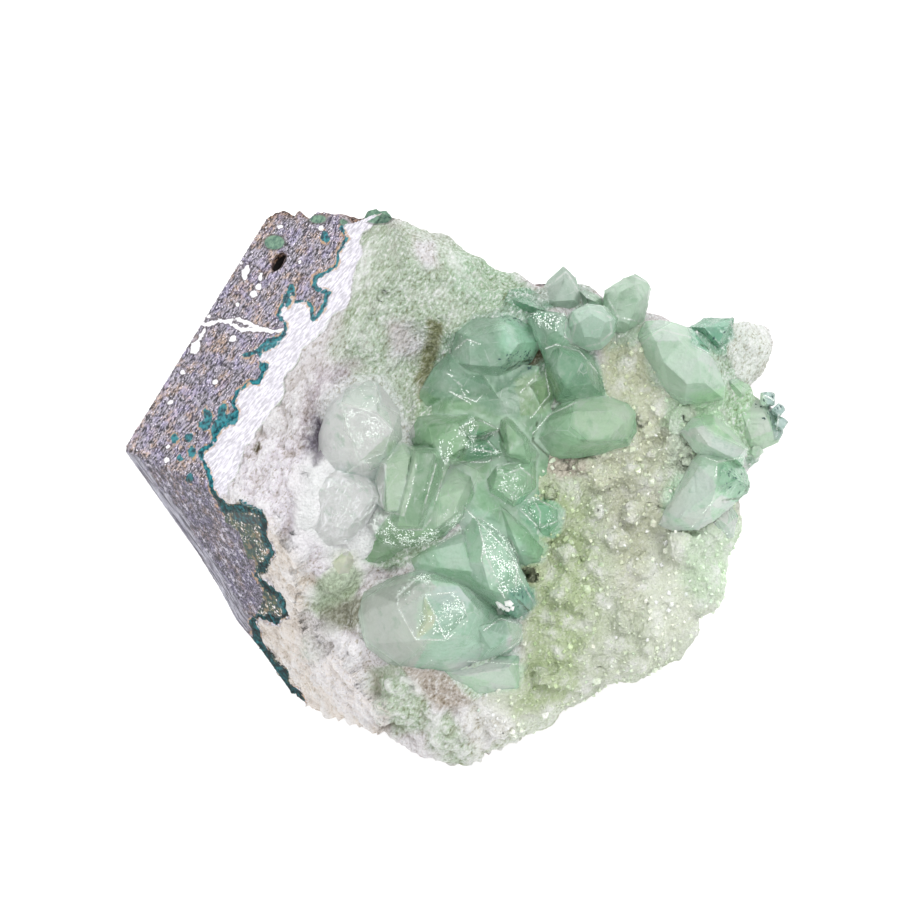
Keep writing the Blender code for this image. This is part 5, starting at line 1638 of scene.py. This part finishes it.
def build_rock():
    """The three rocks and the small crystals that stand on the crust."""
    rock, kind = dress_rock()
    # Kind, slot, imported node, own colour, roughness, own relief, its depth in mm, shine.
    pieces = (
        (BASALT, "basalt", "basalt_matrix", broken_basalt_colour, 0.8, broken_height, 0.3, 0.4),
        (SEAM, "celadonite", "celadonite_seam", teal_colour, 0.7, broken_height, 0.2, 0.1),
        (CRUST, "mordenite", "mordenite_crust", crust_colour, 0.75, felt_height, 0.5, 0.5),
    )
    for wanted, slot, node, *surface in pieces:
        piece = kind_piece(rock, kind, wanted, slot + "_rock")
        finish_piece(piece, stone(slot, *surface), slot, node)
    grains = druse_grains(rock, kind)
    finish_piece(grains, apophyllite("druse", clearness=0.15, density=1.0), "apophyllite")
    bpy.data.objects.remove(rock)


def build_crystals():
    """The apophyllite crystals with what lies on their facets."""
    clear = apophyllite("apophyllite", clearness=0.6, density=2.5)
    crystals = []
    for node in CRYSTAL_NODES:
        piece = crystal_piece(node)
        finish_piece(piece, clear, "apophyllite", node)
        crystals.append(piece)
    sparkle = plain("glitter", (244, 254, 247), roughness=0.2, glow=0.25)
    small_things = (
        (glitter_flakes, sparkle),
        (edge_glints, sparkle),
        (white_lumps, plain("white lumps", (244, 244, 242), roughness=0.6, glow=0.05)),
        (silk_threads, plain("silk", (250, 250, 253), roughness=0.35, glow=0.12)),
        (inclusion_specks, plain("inclusions", (44, 78, 76), roughness=0.5, glow=0.0)),
    )
    for make, material in small_things:
        finish_piece(make(crystals), material, "apophyllite")


# The studio

FLOOR_SIZE = 4.0
# As the shader takes it, not as a display colour.
FLOOR_COLOUR = (0.93, 0.93, 0.93, 1)
CAMERA_HEIGHT = 3.2
SHARP_LEVEL = 0.010
SENSOR = 36.0
WORLD_STRENGTH = 1.02
# The soft key, and small lamps that only show as glints: place in metres, size and power in watts.
LAMPS = {
    "key": ((0.5, 0.55, 1.15), 0.5, 6.5),
    "glint_left": ((-0.5, 0.35, 1.2), 0.1, 0.7),
    "glint_right": ((0.35, -0.25, 1.2), 0.1, 0.7),
    "glint_top": ((0.1, 0.7, 1.0), 0.1, 0.7),
}


def build_floor():
    """A plain white table."""
    bm = bmesh.new()
    bmesh.ops.create_grid(bm, x_segments=1, y_segments=1, size=FLOOR_SIZE / 2)
    mesh = bpy.data.meshes.new("floor")
    bm.to_mesh(mesh)
    bm.free()
    floor = link("floor", mesh)
    look = Look("floor")
    look.set_inputs(look.shader, {
        "Roughness": 0.9, "Specular IOR Level": 0.0, "Emission Color": WHITE, "Emission Strength": 0.4,
    })
    look.shader.inputs["Base Color"].default_value = FLOOR_COLOUR
    mesh.materials.append(look.material)


def build_light():
    """Soft white light from all round, with a large key from the upper right."""
    world = bpy.data.worlds.new("studio")
    world.use_nodes = True
    background = world.node_tree.nodes["Background"]
    background.inputs["Color"].default_value = (1, 1, 1, 1)
    background.inputs["Strength"].default_value = WORLD_STRENGTH
    bpy.context.scene.world = world
    for name, (place_of, width, power) in LAMPS.items():
        data = bpy.data.lights.new(name, "AREA")
        data.size = width
        data.energy = power
        lamp = bpy.data.objects.new(name, data)
        lamp.location = place_of
        lamp.rotation_euler = (-Vector(place_of)).to_track_quat("-Z", "Y").to_euler()
        bpy.context.scene.collection.objects.link(lamp)


def build_camera():
    """Straight above, with a long lens that gives the photograph's frame at the crystals' level."""
    middle = (np.array((PHOTO_WIDTH / 2, PHOTO_WIDTH / 2)) - PHOTO_ZERO) / PIXELS_A_MM * (1, -1)
    data = bpy.data.cameras.new("camera")
    data.sensor_width = SENSOR
    data.lens = SENSOR * CAMERA_HEIGHT / (PHOTO_WIDTH / PIXELS_A_MM * MM)
    data.clip_start = 0.01
    camera = bpy.data.objects.new("camera", data)
    camera.location = (middle[0] * MM, middle[1] * MM, CAMERA_HEIGHT + SHARP_LEVEL)
    bpy.context.scene.collection.objects.link(camera)
    bpy.context.scene.camera = camera


build_rock()
build_crystals()
build_floor()
build_light()
build_camera()
bpy.context.scene.view_settings.view_transform = "Standard"
